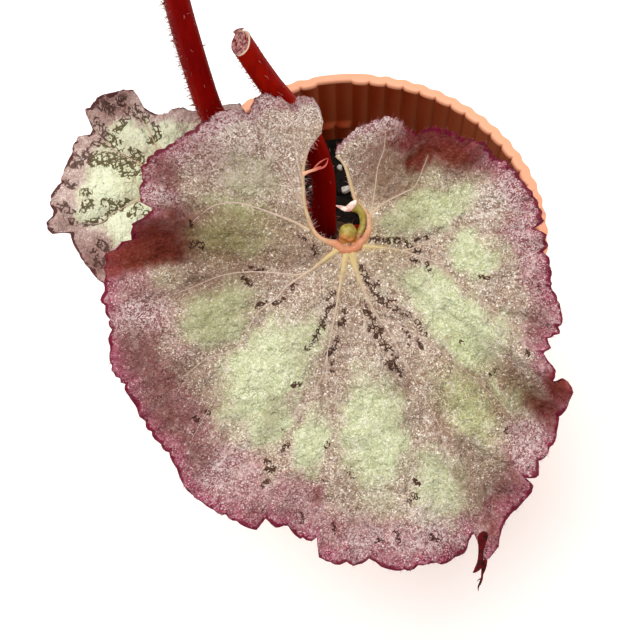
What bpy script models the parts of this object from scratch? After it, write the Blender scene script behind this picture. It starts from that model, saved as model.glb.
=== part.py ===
"""Potted rex begonia: a young painted-leaf begonia in a fluted plastic nursery pot.

Blender works in metres with +Z up. Lengths in this file are in millimetres, and MM turns them into
metres where an object is made or placed. The origin is the centre of the pot's flat underside, the
plant faces -Y, and the plant's own pieces hang on an empty at the centre of the pot's rim.
"""

import math
from collections import namedtuple

import bpy
import numpy as np
from mathutils import Matrix, Vector, noise

MM = 0.001
GAP = 0.3  # what two touching pieces keep between them
ROUND_GAP = 0.45  # the same round the rhizome, whose flat facets cut some of it away

# Pot
POT_HEIGHT = 88.0
RIM_RADIUS = 50.5
BASE_RADIUS = 41.5
FLUTES = 64
FLUTE_PHASE = 90.3  # bearing of one rib, in degrees
RIB_PROUD = 0.9  # outside: how far a rib stands over the valley beside it
GROOVE_WALL = 2.6  # wall behind a rib, where the inside has its groove
BULGE_WALL = 3.4  # rib face to the top of the rounded inner flute beside it
LIP_ROUND = 0.6
BASE_ROUND = 1.2
FLOOR_THICKNESS = 2.2
LABEL_DEPTH = 17.3  # the plain label field runs this far down from the rim
LABEL_INSIDE = (1, 3)  # inner flutes left out of the label field, counted in half flutes from the phase
LABEL_OUTSIDE = (-1, 1, 3)  # outer valleys filled behind it
DRAIN_HOLES = 5
DRAIN_RADIUS = 4.0
DRAIN_CIRCLE = 25.0

# Soil
SOIL_LEVEL = 66.0
SOIL_LUMPS = 1.3
SOIL_COLUMNS = 48
SOIL_RINGS = (8, 15, 22, 29, 35, 40)

# Rhizome and petioles: (x, y, z) from the centre of the rim, and the radius there
RHIZOME = (
    (-21, 10.5, -19, 3.0),
    (-17.5, 9.8, -18.7, 5.6),
    (-12, 10, -18.5, 6.4),
    (-7, 8.6, -18.5, 5.9),
    (-1, 6, -18.5, 6.3),
    (4, 5, -18.1, 5.2),
    (7.5, 5, -17.1, 3.0),
)
MAIN_PETIOLE = (
    (1, 5.5, -18.5, 3.4),
    (1, 3.4, -9, 3.3),
    (0.5, -4.5, 3, 2.9),
    (-0.1, -12.2, 14.5, 2.8),
)
LEFT_PETIOLE = (
    (-17, 9.5, -18.5, 2.7),
    (-20, 8.4, -8, 2.6),
    (-26.5, 8, 1.5, 2.3),
    (-35, 7.6, 5.6, 2.1),
)
TALL_PETIOLE = (
    (-13.5, 13, -18.5, 3.6),
    (-16, 14.6, -8, 3.5),
    (-24, 14.8, 8, 3.3),
    (-31.5, 15, 20, 3.2),
    (-36.5, 15.8, 31, 3.2),
    (-40, 17.6, 60, 3.1),
    (-42.3, 21, 81, 2.8),
)
CUT_PETIOLE = (
    (-7.6, 8.6, -18.5, 3.3),
    (-7.5, 8.2, -6, 3.15),
    (-7.8, 11.6, 10.5, 3.05),
    (-12.3, 14.6, 25.5, 3.0),
    (-20.4, 17.4, 39.5, 2.9),
    (-26.4, 19.6, 52.2, 2.8),
)
CUT_SLOPE = (0.28, 0.45)  # the knife's plane rises so much for each unit to the right, and to the back
NECK_STEP = 2.5  # a petiole's last two steps, straight and square to its blade
PETIOLE_SIDES = 10
PETIOLE_STEPS = 14
RHIZOME_SIDES = 14
RHIZOME_STEPS = 22
RHIZOME_KNOB = 0.35  # old leaf scars make the stem knobbly

# Leaves. junction: where the petiole ends. normal: the way the upper face looks. tip: towards the
# leaf's tip. rim: (bearing in degrees, distance from the junction) of the outer margin. sinus: the
# same for the inner edge, which is where the blade starts. Bearing -90 is the tip, 90 the sinus.
# folds: (bearing, depth, half width in degrees) of the valleys that run out from the junction.
Leaf = namedtuple("Leaf", "junction normal tip rim sinus folds columns rows droop ruffle waves")
BLADE_THICKNESS = 0.7

MAIN_LEAF = Leaf(
    junction=(-0.6, -20.4, 27),
    normal=(0, -0.5, 0.866),
    tip=(0, -0.866, -0.5),
    rim=(
        (-255, 29), (-251, 37), (-247, 36.5), (-240, 42), (-233, 40), (-229, 43), (-219, 46.3),
        (-208, 49.5), (-202, 53.5), (-195, 52), (-190, 48.2), (-181, 52.7), (-177, 59.5), (-167, 61.3),
        (-160, 60.8), (-152, 64), (-140, 65.3), (-129, 67.3), (-119, 72), (-108, 73), (-104, 70.3),
        (-98, 73), (-93, 77.7), (-86.5, 76.5), (-80, 80.3), (-74, 80.5), (-69.5, 86), (-65, 82.5),
        (-58, 76.5), (-52, 71.7), (-45, 68.8), (-38, 65), (-33.5, 62.5), (-29.5, 53), (-22, 54.4),
        (-17, 52.4), (-8, 49.1), (0, 47.3), (8.5, 46.4), (18, 44.2), (30, 40.5), (40, 38.8), (46, 36),
        (55, 33), (59, 30.2), (66, 32), (74, 31.5), (84, 28.5), (92, 25.5), (99, 23),
    ),
    sinus=(
        (-255, 27), (-251, 25.9), (-244, 23.7), (-237, 20.7), (-226, 15.8), (-211, 11.6), (-192, 7.8),
        (-178, 4), (-166, 1.5), (0, 1.5), (25, 4.5), (43, 6.3), (57, 8), (70, 9), (82, 10.2),
        (87, 12), (91, 16.5), (95.6, 19.2), (99, 21.2),
    ),
    folds=((-181, 3.6, 6), (48, 2.2, 7), (-33, 2.0, 4), (-53, 1.4, 4), (-66, 2.4, 4)),
    columns=88,
    rows=8,
    droop=0.0012,
    ruffle=1.2,
    waves=22,
)
LEFT_LEAF = Leaf(
    junction=(-44.7, 5.6, 15),
    normal=(-0.2, -0.35, 0.915),
    tip=(-0.93, -0.225, -0.289),
    rim=(
        (-245, 24.5), (-238, 25.3), (-230, 22.8), (-216, 18.4), (-200, 18.4), (-186, 17.4), (-177, 19),
        (-172, 24.5), (-166, 28.1), (-157, 30.8), (-149, 31.8), (-141, 27.6), (-133, 30), (-125, 29.5),
        (-110, 31), (-103, 33.5), (-95, 33), (-90, 35.7), (-85, 31.6), (-73, 32.2), (-61, 32.6),
        (-48, 31.6), (-30, 30.4), (-10, 28), (10, 25.5), (30, 23.5), (48, 21), (62, 17.5),
    ),
    sinus=(
        (-245, 23), (-238, 20.5), (-230, 16.5), (-220, 11), (-200, 3), (-186, 1.2), (0, 1.2),
        (30, 5), (48, 10), (62, 15.5),
    ),
    folds=((-84, 1.6, 5), (-190, -1.5, 14)),
    columns=54,
    rows=6,
    droop=0.002,
    ruffle=0.9,
    waves=13,
)
TALL_LEAF = Leaf(
    junction=(-45.5, 28.2, 95.6),
    normal=(-0.25, 0.4, 0.882),
    tip=(-0.5, 0.72, -0.48),
    rim=(
        (-252, 16), (-244, 21), (-230, 25), (-214, 27.5), (-200, 28.5), (-184, 27), (-170, 30),
        (-155, 32), (-140, 32), (-124, 35), (-108, 38.5), (-96, 43), (-88, 45), (-80, 41),
        (-66, 38), (-50, 37), (-34, 33.5), (-18, 32), (-4, 28.5), (14, 28), (32, 25), (50, 22.5),
        (66, 19), (76, 14.5),
    ),
    sinus=(
        (-252, 12), (-240, 9), (-222, 5.5), (-200, 2.5), (-186, 1.2), (0, 1.2), (24, 3), (46, 6),
        (64, 9), (76, 11.5),
    ),
    folds=((-150, 1.6, 7), (-40, 1.8, 7)),
    columns=54,
    rows=6,
    droop=0.003,
    ruffle=1.1,
    waves=13,
)


def clear_scene():
    for old in list(bpy.data.objects):
        bpy.data.objects.remove(old, do_unlink=True)


def material(name, colour, roughness):
    made = bpy.data.materials.new(name)
    made.use_nodes = True
    shader = made.node_tree.nodes["Principled BSDF"]
    shader.inputs["Base Color"].default_value = (*colour, 1.0)
    shader.inputs["Roughness"].default_value = roughness
    shader.inputs["Metallic"].default_value = 0.0
    return made


def mesh_object(name, points, faces, finish, parent=None):
    """A mesh object from points in millimetres, shaded smooth where its faces meet gently."""
    mesh = bpy.data.meshes.new(name)
    mesh.from_pydata((np.asarray(points) * MM).tolist(), [], faces)
    mesh.materials.append(finish)
    mesh.shade_smooth()
    mesh.set_sharp_from_angle(angle=math.radians(40))
    made = bpy.data.objects.new(name, mesh)
    bpy.context.scene.collection.objects.link(made)
    made.parent = parent
    return made


def cutter(made):
    made.hide_render = True
    made.display_type = "WIRE"
    return made


def cut(target, tool):
    subtract = target.modifiers.new("clear_of_" + tool.name, "BOOLEAN")
    subtract.operation = "DIFFERENCE"
    subtract.solver = "EXACT"
    subtract.object = tool


def skin(ring_count, sides):
    """Quads between rings of points that follow each other in one list."""
    faces = []
    for ring in range(ring_count - 1):
        for side in range(sides):
            a = ring * sides + side
            b = ring * sides + (side + 1) % sides
            faces.append((a, b, b + sides, a + sides))
    return faces


def smooth_route(stations, count):
    """Catmull-Rom curve through the stations, whose columns may hold more than a position."""
    stations = np.asarray(stations, float)
    padded = np.vstack((2 * stations[0] - stations[1], stations, 2 * stations[-1] - stations[-2]))
    route = []
    for value in np.linspace(0, len(stations) - 1, count):
        index = min(int(value), len(stations) - 2)
        t = value - index
        p0, p1, p2, p3 = padded[index:index + 4]
        route.append(0.5 * (2 * p1 + (p2 - p0) * t + (2 * p0 - 5 * p1 + 4 * p2 - p3) * t * t
                            + (3 * p1 - p0 - 3 * p2 + p3) * t ** 3))
    return np.array(route)


def tube(name, route, sides, finish, parent, end_slope=(0.0, 0.0)):
    """A closed tube round a route of (x, y, z, radius). end_slope tilts its last ring both ways."""
    centres = [Vector(row[:3]) for row in route]
    points = []
    across = Vector((1, 0, 0))
    for index, centre in enumerate(centres):
        ahead = centres[min(index + 1, len(centres) - 1)] - centres[max(index - 1, 0)]
        ahead.normalize()
        across = (across - ahead * across.dot(ahead)).normalized()
        other = ahead.cross(across)
        slope = end_slope if index == len(centres) - 1 else (0.0, 0.0)
        for side in range(sides):
            turn = 2 * math.pi * side / sides
            arm = (across * math.cos(turn) + other * math.sin(turn)) * route[index][3]
            rise = slope[0] * math.cos(turn) + slope[1] * math.sin(turn)
            points.append(centre + arm + ahead * rise * route[index][3])
    faces = skin(len(centres), sides)
    last = (len(centres) - 1) * sides
    faces.append(tuple(reversed(range(sides))))
    faces.append(tuple(range(last, last + sides)))
    return mesh_object(name, [tuple(p) for p in points], faces, finish, parent)


def rhizome_route(grow):
    """The rhizome's stations, grow millimetres fatter and longer all round, with its knobs."""
    route = smooth_route(RHIZOME, RHIZOME_STEPS)
    knobs = RHIZOME_KNOB * np.sin(np.arange(RHIZOME_STEPS) * 1.9)
    knobs[[0, -1]] = 0
    route[:, 3] += knobs + grow
    for end, inner in ((0, 1), (-1, -2)):
        outward = route[end, :3] - route[inner, :3]
        route[end, :3] += outward / np.linalg.norm(outward) * grow
    return route


def pot_radius(height):
    return BASE_RADIUS + (RIM_RADIUS - BASE_RADIUS) * height / POT_HEIGHT


def pot_column(index, label):
    """How far the outside and the inside of the wall lie in from the rib face, at one half flute."""
    if index % 2 == 0:
        return 0.0, GROOVE_WALL
    turned = index if index < FLUTES else index - 2 * FLUTES
    outside = 0.0 if label and turned in LABEL_OUTSIDE else RIB_PROUD
    inside = GROOVE_WALL if label and turned in LABEL_INSIDE else BULGE_WALL
    return outside, inside


def build_pot(finish):
    """One loop of points up the outside, over the lip and down the inside, for each half flute."""
    columns = 2 * FLUTES
    label_low = POT_HEIGHT - LABEL_DEPTH
    points = []
    stations = (
        ("out", 0.0, BASE_ROUND, False),
        ("out", BASE_ROUND, 0.0, False),
        ("out", label_low - 0.5, 0.0, False),
        ("out", label_low, 0.0, True),
        ("out", POT_HEIGHT - LIP_ROUND, 0.0, True),
        ("out", POT_HEIGHT, LIP_ROUND, True),
        ("in", POT_HEIGHT, LIP_ROUND, True),
        ("in", POT_HEIGHT - LIP_ROUND, 0.0, True),
        ("in", label_low, 0.0, True),
        ("in", label_low - 0.5, 0.0, False),
        ("in", FLOOR_THICKNESS, 0.0, False),
    )
    for surface, height, inset, label in stations:
        for index in range(columns):
            bearing = math.radians(FLUTE_PHASE) + math.pi * index / FLUTES
            outside, inside = pot_column(index, label)
            if surface == "out":
                radius = pot_radius(height) - outside - inset
            else:
                radius = pot_radius(height) - inside + inset
            points.append((radius * math.cos(bearing), radius * math.sin(bearing), height))
    faces = skin(len(stations), columns)
    first = tuple(reversed(range(columns)))
    last = (len(stations) - 1) * columns
    faces.append(first)
    faces.append(tuple(range(last, last + columns)))
    pot = mesh_object("pot", points, faces, finish)
    cut(pot, drain_cutter(finish))
    return pot


def drain_cutter(finish):
    sides = 20
    reach = 2.0
    points = []
    faces = []
    for hole in range(DRAIN_HOLES):
        bearing = 2 * math.pi * (hole + 0.25) / DRAIN_HOLES
        middle = (DRAIN_CIRCLE * math.cos(bearing), DRAIN_CIRCLE * math.sin(bearing))
        start = len(points)
        for height in (-reach, FLOOR_THICKNESS + reach):
            for side in range(sides):
                turn = 2 * math.pi * side / sides
                points.append((middle[0] + DRAIN_RADIUS * math.cos(turn),
                               middle[1] + DRAIN_RADIUS * math.sin(turn), height))
        faces += [tuple(start + v for v in face) for face in skin(2, sides)]
        faces.append(tuple(start + v for v in reversed(range(sides))))
        faces.append(tuple(start + sides + v for v in range(sides)))
    return cutter(mesh_object("drain_holes", points, faces, finish))


def soil_height(x, y):
    """Loose substrate: lumps of two sizes round the level."""
    coarse = noise.noise(Vector((x / 11, y / 11, 4.0)))
    fine = noise.noise(Vector((x / 4.5, y / 4.5, 9.0)))
    return SOIL_LEVEL + SOIL_LUMPS * (coarse + 0.6 * fine)


def build_soil(finish, rhizome_space):
    floor = FLOOR_THICKNESS + GAP
    edge_low = pot_radius(floor) - BULGE_WALL - GAP
    edge_high = pot_radius(SOIL_LEVEL) - BULGE_WALL - GAP
    points = []
    turns = np.arange(SOIL_COLUMNS) * 2 * math.pi / SOIL_COLUMNS
    points += [(edge_low * math.cos(a), edge_low * math.sin(a), floor) for a in turns]
    points += [(edge_high * math.cos(a), edge_high * math.sin(a), SOIL_LEVEL) for a in turns]
    for radius in reversed(SOIL_RINGS):
        for a in turns:
            x, y = radius * math.cos(a), radius * math.sin(a)
            points.append((x, y, soil_height(x, y)))
    rings = len(SOIL_RINGS) + 2
    faces = skin(rings, SOIL_COLUMNS)
    faces.append(tuple(reversed(range(SOIL_COLUMNS))))
    middle = len(points)
    points.append((0, 0, soil_height(0, 0)))
    last = (rings - 1) * SOIL_COLUMNS
    for side in range(SOIL_COLUMNS):
        faces.append((last + side, last + (side + 1) % SOIL_COLUMNS, middle))
    soil = mesh_object("soil", points, faces, finish)
    cut(soil, rhizome_space)
    return soil


def blade_height(leaf, bearing, radius, fraction):
    """Height of the blade over its own flat plane: drooping edges, ruffled margin and folds."""
    height = -leaf.droop * radius ** 2
    height += leaf.ruffle * fraction ** 3 * math.sin(math.radians(leaf.waves * bearing))
    for middle, depth, half_width in leaf.folds:
        away = (bearing - middle) / half_width
        height -= depth * fraction ** 1.5 * math.exp(-away * away)
    return height


def build_leaf(name, leaf, finish, plant):
    """A fan of points round the junction, from the sinus edge out to the margin, then thickened."""
    rim = np.array(leaf.rim, float)
    sinus = np.array(leaf.sinus, float)
    points = []
    for bearing in np.linspace(rim[0, 0], rim[-1, 0], leaf.columns):
        start = np.interp(bearing, sinus[:, 0], sinus[:, 1])
        end = np.interp(bearing, rim[:, 0], rim[:, 1])
        for fraction in np.linspace(0, 1, leaf.rows):
            radius = start + (end - start) * fraction
            turn = math.radians(bearing)
            points.append((radius * math.cos(turn), radius * math.sin(turn),
                           blade_height(leaf, bearing, radius, fraction)))
    faces = []
    for column in range(leaf.columns - 1):
        for row in range(leaf.rows - 1):
            a = column * leaf.rows + row
            faces.append((a, a + 1, a + leaf.rows + 1, a + leaf.rows))
    blade = mesh_object(name, points, faces, finish, plant)
    normal = Vector(leaf.normal).normalized()
    back = -Vector(leaf.tip)
    back = (back - normal * back.dot(normal)).normalized()
    side = back.cross(normal)
    turned = Matrix((side, back, normal)).transposed().to_4x4()
    blade.matrix_local = Matrix.Translation(Vector(leaf.junction) * MM) @ turned
    thick = blade.modifiers.new("thickness", "SOLIDIFY")
    thick.thickness = BLADE_THICKNESS * MM
    thick.offset = 0.0
    return blade


def leaf_neck(leaf):
    """The last stations of a leaf's petiole: it turns along the normal and stops under the blade."""
    normal = np.array(leaf.normal) / np.linalg.norm(leaf.normal)
    junction = np.array(leaf.junction, float)
    stop = BLADE_THICKNESS / 2 + GAP
    return [junction - normal * (stop + step * NECK_STEP) for step in (2, 1, 0)]


def build_petiole(name, stations, finish, plant, rhizome_space, leaf=None, slope=(0.0, 0.0)):
    rows = list(stations)
    if leaf is not None:
        thickness = rows[-1][3]
        rows += [(*spot, thickness) for spot in leaf_neck(leaf)]
    stem = tube(name, smooth_route(rows, PETIOLE_STEPS), PETIOLE_SIDES, finish, plant, slope)
    cut(stem, rhizome_space)
    return stem


def main():
    clear_scene()
    terracotta = material("terracotta_plastic", (0.93, 0.50, 0.34), 0.5)
    dark_soil = material("soil", (0.02, 0.014, 0.010), 0.95)
    silver_leaf = material("silver_leaf", (0.42, 0.40, 0.33), 0.45)
    mint_leaf = material("mint_leaf", (0.66, 0.69, 0.52), 0.5)
    young_leaf = material("young_leaf", (0.45, 0.42, 0.34), 0.45)
    red_stalk = material("red_stalk", (0.16, 0.004, 0.006), 0.4)
    green_stalk = material("green_stalk", (0.35, 0.27, 0.05), 0.45)
    brown_stem = material("rhizome", (0.16, 0.08, 0.04), 0.7)

    plant = bpy.data.objects.new("plant", None)
    bpy.context.scene.collection.objects.link(plant)
    plant.location = (0, 0, POT_HEIGHT * MM)

    space_route = rhizome_route(ROUND_GAP)
    rhizome_space = cutter(tube("rhizome_space", space_route, RHIZOME_SIDES, brown_stem, plant))
    build_pot(terracotta)
    build_soil(dark_soil, rhizome_space)
    tube("rhizome", rhizome_route(0.0), RHIZOME_SIDES, brown_stem, plant)

    build_leaf("main_leaf", MAIN_LEAF, silver_leaf, plant)
    build_leaf("left_leaf", LEFT_LEAF, mint_leaf, plant)
    build_leaf("tall_leaf", TALL_LEAF, young_leaf, plant)
    build_petiole("main_petiole", MAIN_PETIOLE, green_stalk, plant, rhizome_space, MAIN_LEAF)
    build_petiole("left_petiole", LEFT_PETIOLE, red_stalk, plant, rhizome_space, LEFT_LEAF)
    build_petiole("tall_petiole", TALL_PETIOLE, red_stalk, plant, rhizome_space, TALL_LEAF)
    build_petiole("cut_petiole", CUT_PETIOLE, red_stalk, plant, rhizome_space, slope=CUT_SLOPE)


main()
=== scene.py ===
"""The looks of a potted rex begonia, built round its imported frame.

Lengths in this file are millimetres, and MM turns them into the frame's metres. The plant's own places
are counted from the centre of the pot's rim, as in the model; +X is right, +Y is away, +Z is up.
"""

import math
from collections import namedtuple

import bpy
import numpy as np
from mathutils import Matrix, Vector


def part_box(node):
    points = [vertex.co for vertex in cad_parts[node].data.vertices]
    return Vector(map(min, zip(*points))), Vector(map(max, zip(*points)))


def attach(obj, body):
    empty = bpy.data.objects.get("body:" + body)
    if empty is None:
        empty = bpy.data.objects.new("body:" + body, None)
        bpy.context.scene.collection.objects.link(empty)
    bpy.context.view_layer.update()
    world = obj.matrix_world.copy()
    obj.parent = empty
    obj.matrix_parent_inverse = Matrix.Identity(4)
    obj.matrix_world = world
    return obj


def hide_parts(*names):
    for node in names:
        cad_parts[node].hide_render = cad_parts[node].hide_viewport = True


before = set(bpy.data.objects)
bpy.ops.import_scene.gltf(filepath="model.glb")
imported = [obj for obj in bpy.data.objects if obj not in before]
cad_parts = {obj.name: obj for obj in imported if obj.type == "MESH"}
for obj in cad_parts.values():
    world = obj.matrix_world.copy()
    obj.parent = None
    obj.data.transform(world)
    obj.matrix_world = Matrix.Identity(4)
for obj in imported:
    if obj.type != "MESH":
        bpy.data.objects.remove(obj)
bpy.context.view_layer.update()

MM = 0.001
BODY = "root"
POT_LOW, POT_HIGH = (np.array(corner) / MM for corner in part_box("pot"))
RIM_Z = POT_HIGH[2]
RIM_RADIUS = (POT_HIGH[0] - POT_LOW[0]) / 2


# ---------------------------------------------------------------- numbers shared by several pieces

def unit(vector):
    vector = np.asarray(vector, float)
    return vector / np.linalg.norm(vector, axis=-1, keepdims=True)


def smoothstep(value, low, high):
    t = np.clip((np.asarray(value, float) - low) / (high - low), 0, 1)
    return t * t * (3 - 2 * t)


def value_noise(x, y, cell, seed):
    """Smooth noise from -1 to 1 over a plane: a seeded lattice of random heights, cell apart."""
    size = 101
    lattice = np.random.default_rng(seed).uniform(-1, 1, (size, size))
    x = np.asarray(x, float) / cell + size / 2
    y = np.asarray(y, float) / cell + size / 2
    i, j = np.floor(x).astype(int), np.floor(y).astype(int)
    s, t = x - i, y - j
    s, t = s * s * (3 - 2 * s), t * t * (3 - 2 * t)
    i, j, i1, j1 = i % size, j % size, (i + 1) % size, (j + 1) % size
    low = lattice[i, j] * (1 - s) + lattice[i1, j] * s
    high = lattice[i, j1] * (1 - s) + lattice[i1, j1] * s
    return low * (1 - t) + high * t


def smooth_route(stations, count):
    """Catmull-Rom curve through the stations, whose columns may hold more than a position."""
    stations = np.asarray(stations, float)
    padded = np.vstack((2 * stations[0] - stations[1], stations, 2 * stations[-1] - stations[-2]))
    value = np.linspace(0, len(stations) - 1, count)
    index = np.minimum(value.astype(int), len(stations) - 2)
    t = (value - index)[:, None]
    p0, p1, p2, p3 = (padded[index + step] for step in range(4))
    return 0.5 * (2 * p1 + (p2 - p0) * t + (2 * p0 - 5 * p1 + 4 * p2 - p3) * t ** 2
                  + (3 * p1 - p0 - 3 * p2 + p3) * t ** 3)


def plant_route(stations, count):
    """A smooth route of (x, y, z, radius) whose stations are counted from the centre of the rim."""
    return smooth_route(stations, count) + (0, 0, RIM_Z, 0)


def circle(count):
    """Evenly spaced angles round a full turn."""
    return np.arange(count) * 2 * math.pi / count


# ---------------------------------------------------------------- mesh helpers

def link_object(name, data):
    made = bpy.data.objects.new(name, data)
    bpy.context.scene.collection.objects.link(made)
    return made


def make_piece(name, points, faces, finishes, slot, replaces, sharp, values=None, face_finish=None):
    """A smooth mesh from points in millimetres that rides on the plant.

    Edges of more than sharp degrees stay sharp; values are floats for each point, and face_finish says
    which of the finishes each face takes.
    """
    mesh = bpy.data.meshes.new(name)
    mesh.from_pydata((np.asarray(points) * MM).tolist(), [], faces)
    for finish in finishes:
        mesh.materials.append(finish)
    if face_finish is not None:
        mesh.polygons.foreach_set("material_index", np.asarray(face_finish, np.int32))
    for key, column in (values or {}).items():
        mesh.attributes.new(key, "FLOAT", "POINT").data.foreach_set("value", np.asarray(column, np.float32))
    mesh.shade_smooth()
    if sharp < 180:
        mesh.set_sharp_from_angle(angle=math.radians(sharp))
    piece = link_object(name, mesh)
    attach(piece, BODY)
    if replaces:
        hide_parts(*replaces)
    return piece


def grid_faces(rows, columns, closed=False, first=0, flip=False):
    """Quads of a grid of points that is stored row after row."""
    wide = columns if closed else columns - 1
    r, c = np.meshgrid(np.arange(rows - 1), np.arange(wide), indexing="ij")
    a = first + r * columns + c
    b = first + r * columns + (c + 1) % columns
    quads = np.stack((a, b, b + columns, a + columns), -1).reshape(-1, 4)
    return (quads[:, ::-1] if flip else quads).tolist()


def barrel_faces(rings, sides):
    """Quads between closed rings, and a face over each end."""
    last = (rings - 1) * sides
    ends = [tuple(reversed(range(sides))), tuple(range(last, last + sides))]
    return grid_faces(rings, sides, closed=True) + ends


def ring_values(values, rings, sides):
    """Each value, given once or once a ring, repeated for every point of its ring."""
    return {key: np.repeat(np.broadcast_to(np.asarray(column, float), rings), sides)
            for key, column in values.items()}


def carry_frame(route):
    """Unit vectors across a route that turn with it as little as they can."""
    ahead = unit(np.gradient(route, axis=0))
    across = np.zeros_like(route)
    arm = np.array((1.0, 0.0, 0.0)) if abs(ahead[0][0]) < 0.9 else np.array((0.0, 1.0, 0.0))
    for i, forward in enumerate(ahead):
        arm = unit(arm - forward * arm.dot(forward))
        across[i] = arm
    return ahead, across, np.cross(ahead, across)


class Parts:
    """Points and faces of several bodies gathered into one mesh."""

    def __init__(self):
        self.points, self.faces, self.values, self.count = [], [], {}, 0

    def add(self, points, faces, **values):
        points = np.asarray(points, float)
        self.faces += [tuple(v + self.count for v in face) for face in faces]
        self.points.append(points)
        self.count += len(points)
        for key, column in values.items():
            self.values.setdefault(key, []).append(np.broadcast_to(np.asarray(column, float), len(points)))

    def tube(self, route, radii, sides, wobble=None, **values):
        """A closed tube; wobble(turn, share) scales its radius, and values may hold one per ring."""
        route = np.asarray(route, float)
        radii = np.broadcast_to(np.asarray(radii, float), len(route))
        _, across, other = carry_frame(route)
        turn = circle(sides)[None, :]
        share = np.linspace(0, 1, len(route))[:, None]
        scale = radii[:, None] * (1 if wobble is None else wobble(turn, share))
        arms = across[:, None, :] * np.cos(turn)[..., None] + other[:, None, :] * np.sin(turn)[..., None]
        points = (route[:, None, :] + arms * scale[..., None]).reshape(-1, 3)
        self.add(points, barrel_faces(len(route), sides), **ring_values(values, len(route), sides))

    def strap(self, stations, thickness, face, sides=10, **values):
        """A closed flat band: stations are (x, y, z, half width), and face is the way it looks."""
        stations = np.asarray(stations, float)
        spine, widths = stations[:, :3], stations[:, 3]
        ahead = unit(np.gradient(spine, axis=0))
        out = unit(np.asarray(face, float) - ahead * (ahead @ np.asarray(face, float))[:, None])
        side = np.cross(ahead, out)
        turn = circle(sides)[None, :, None]
        points = (spine[:, None, :] + side[:, None, :] * (widths[:, None, None] * np.cos(turn))
                  + out[:, None, :] * thickness * np.sin(turn))
        self.add(points.reshape(-1, 3), barrel_faces(len(spine), sides),
                 **ring_values(values, len(spine), sides))

    def hair(self, root, lean, length, thickness, bend):
        """A tapering three-sided hair that bends a little on its way."""
        t = np.array((0.0, 0.45, 0.8, 1.0))[:, None]
        spine = np.asarray(root) + np.asarray(lean) * length * t + np.asarray(bend) * length * t ** 2
        self.tube(spine, thickness * np.array((1.0, 0.8, 0.5, 0.12)), sides=3)

    def piece(self, name, finish, slot, sharp=180, replaces=()):
        values = {key: np.concatenate(columns) for key, columns in self.values.items()}
        make_piece(name, np.vstack(self.points), self.faces, [finish], slot, replaces, sharp, values)


# ---------------------------------------------------------------- material helpers

class Finish:
    """One procedural material: short names for the nodes that the finishes below use."""

    def __init__(self, name, **sockets):
        self.material = bpy.data.materials.new(name)
        self.material.use_nodes = True
        self.tree = self.material.node_tree
        self.shader = self.tree.nodes["Principled BSDF"]
        self.place = self.tree.nodes.new("ShaderNodeTexCoord").outputs["Object"]
        for key, value in sockets.items():
            self.shader.inputs[key.replace("_", " ")].default_value = value

    def plug(self, socket, value):
        if isinstance(value, bpy.types.NodeSocket):
            self.tree.links.new(value, socket)
        elif isinstance(value, tuple):
            socket.default_value = (*value, 1.0)[:len(socket.default_value)]
        else:
            socket.default_value = value

    def done(self, colour, normal=None, roughness=None):
        """Plugs in what changes over the surface, and returns the material."""
        self.plug(self.shader.inputs["Base Color"], colour)
        if normal is not None:
            self.plug(self.shader.inputs["Normal"], normal)
        if roughness is not None:
            self.plug(self.shader.inputs["Roughness"], roughness)
        return self.material

    def node(self, kind, output=0, settings=None, slots=None, **inputs):
        """Adds a node and gives one of its outputs; slots are the inputs that go by number."""
        made = self.tree.nodes.new("ShaderNode" + kind)
        for key, value in (settings or {}).items():
            setattr(made, key, value)
        named = {key.replace("_", " "): value for key, value in inputs.items()}
        for key, value in {**(slots or {}), **named}.items():
            self.plug(made.inputs[key], value)
        return made.outputs[output]

    def value(self, name):
        """A float stored on the mesh's points."""
        return self.node("Attribute", "Fac", {"attribute_name": name})

    def noise(self, feature, detail=2.0, roughness=0.5, stretch=None, seed=0.0, place=None):
        """Noise whose features are about that many millimetres across."""
        place = place or self.place
        if stretch:
            place = self.node("Mapping", Vector=place, Scale=stretch)
        return self.node("TexNoise", "Fac", {"noise_dimensions": "4D"}, Vector=place, W=seed,
                         Scale=1 / (feature * MM), Detail=detail, Roughness=roughness)

    def cells(self, feature, kind="F1", output="Distance", warp=0.0):
        """Cells about that many millimetres across; warp millimetres bend their borders."""
        place = self.place
        if warp:
            sway = self.node("TexNoise", "Color", Vector=place, Scale=1 / (feature * MM), Detail=2.0)
            place = self.node("VectorMath", 0, {"operation": "MULTIPLY_ADD"},
                              {0: sway, 1: (warp * MM,) * 3, 2: place})
        return self.node("TexVoronoi", output, {"feature": kind}, Vector=place, Scale=1 / (feature * MM))

    def span(self, value, low, high, to_low=0.0, to_high=1.0, smooth=True):
        """value, or the stored value of that name, from low..high to to_low..to_high, held at both ends."""
        if isinstance(value, str):
            value = self.value(value)
        return self.node("MapRange", "Result", {"interpolation_type": "SMOOTHSTEP" if smooth else "LINEAR"},
                         Value=value, From_Min=low, From_Max=high, To_Min=to_low, To_Max=to_high)

    def math(self, operation, first, *more):
        """The operation on the first input and the next one, then on the result and the one after it."""
        for second in more:
            first = self.node("Math", 0, {"operation": operation}, {0: first, 1: second})
        return first

    def times(self, *factors):
        return self.math("MULTIPLY", *factors)

    def plus(self, *terms):
        return self.math("ADD", *terms)

    def mix(self, share, first, second, blend="MIX"):
        return self.node("Mix", 2, {"data_type": "RGBA", "blend_type": blend},
                         {0: share, 6: first, 7: second})

    def mottle(self, first, second, noise, low, high, most=1.0):
        """Clouds of the second colour over the first: noise is (feature, detail, roughness)."""
        return self.mix(self.span(self.noise(*noise), low, high, 0.0, most), first, second)

    def bump(self, height, distance, strength=1.0, under=None):
        """Bump that is distance millimetres deep at most."""
        below = {} if under is None else {"Normal": under}
        return self.node("Bump", "Normal", Height=height, Distance=distance * MM, Strength=strength,
                         **below)


# ---------------------------------------------------------------- camera, light and floor

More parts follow.
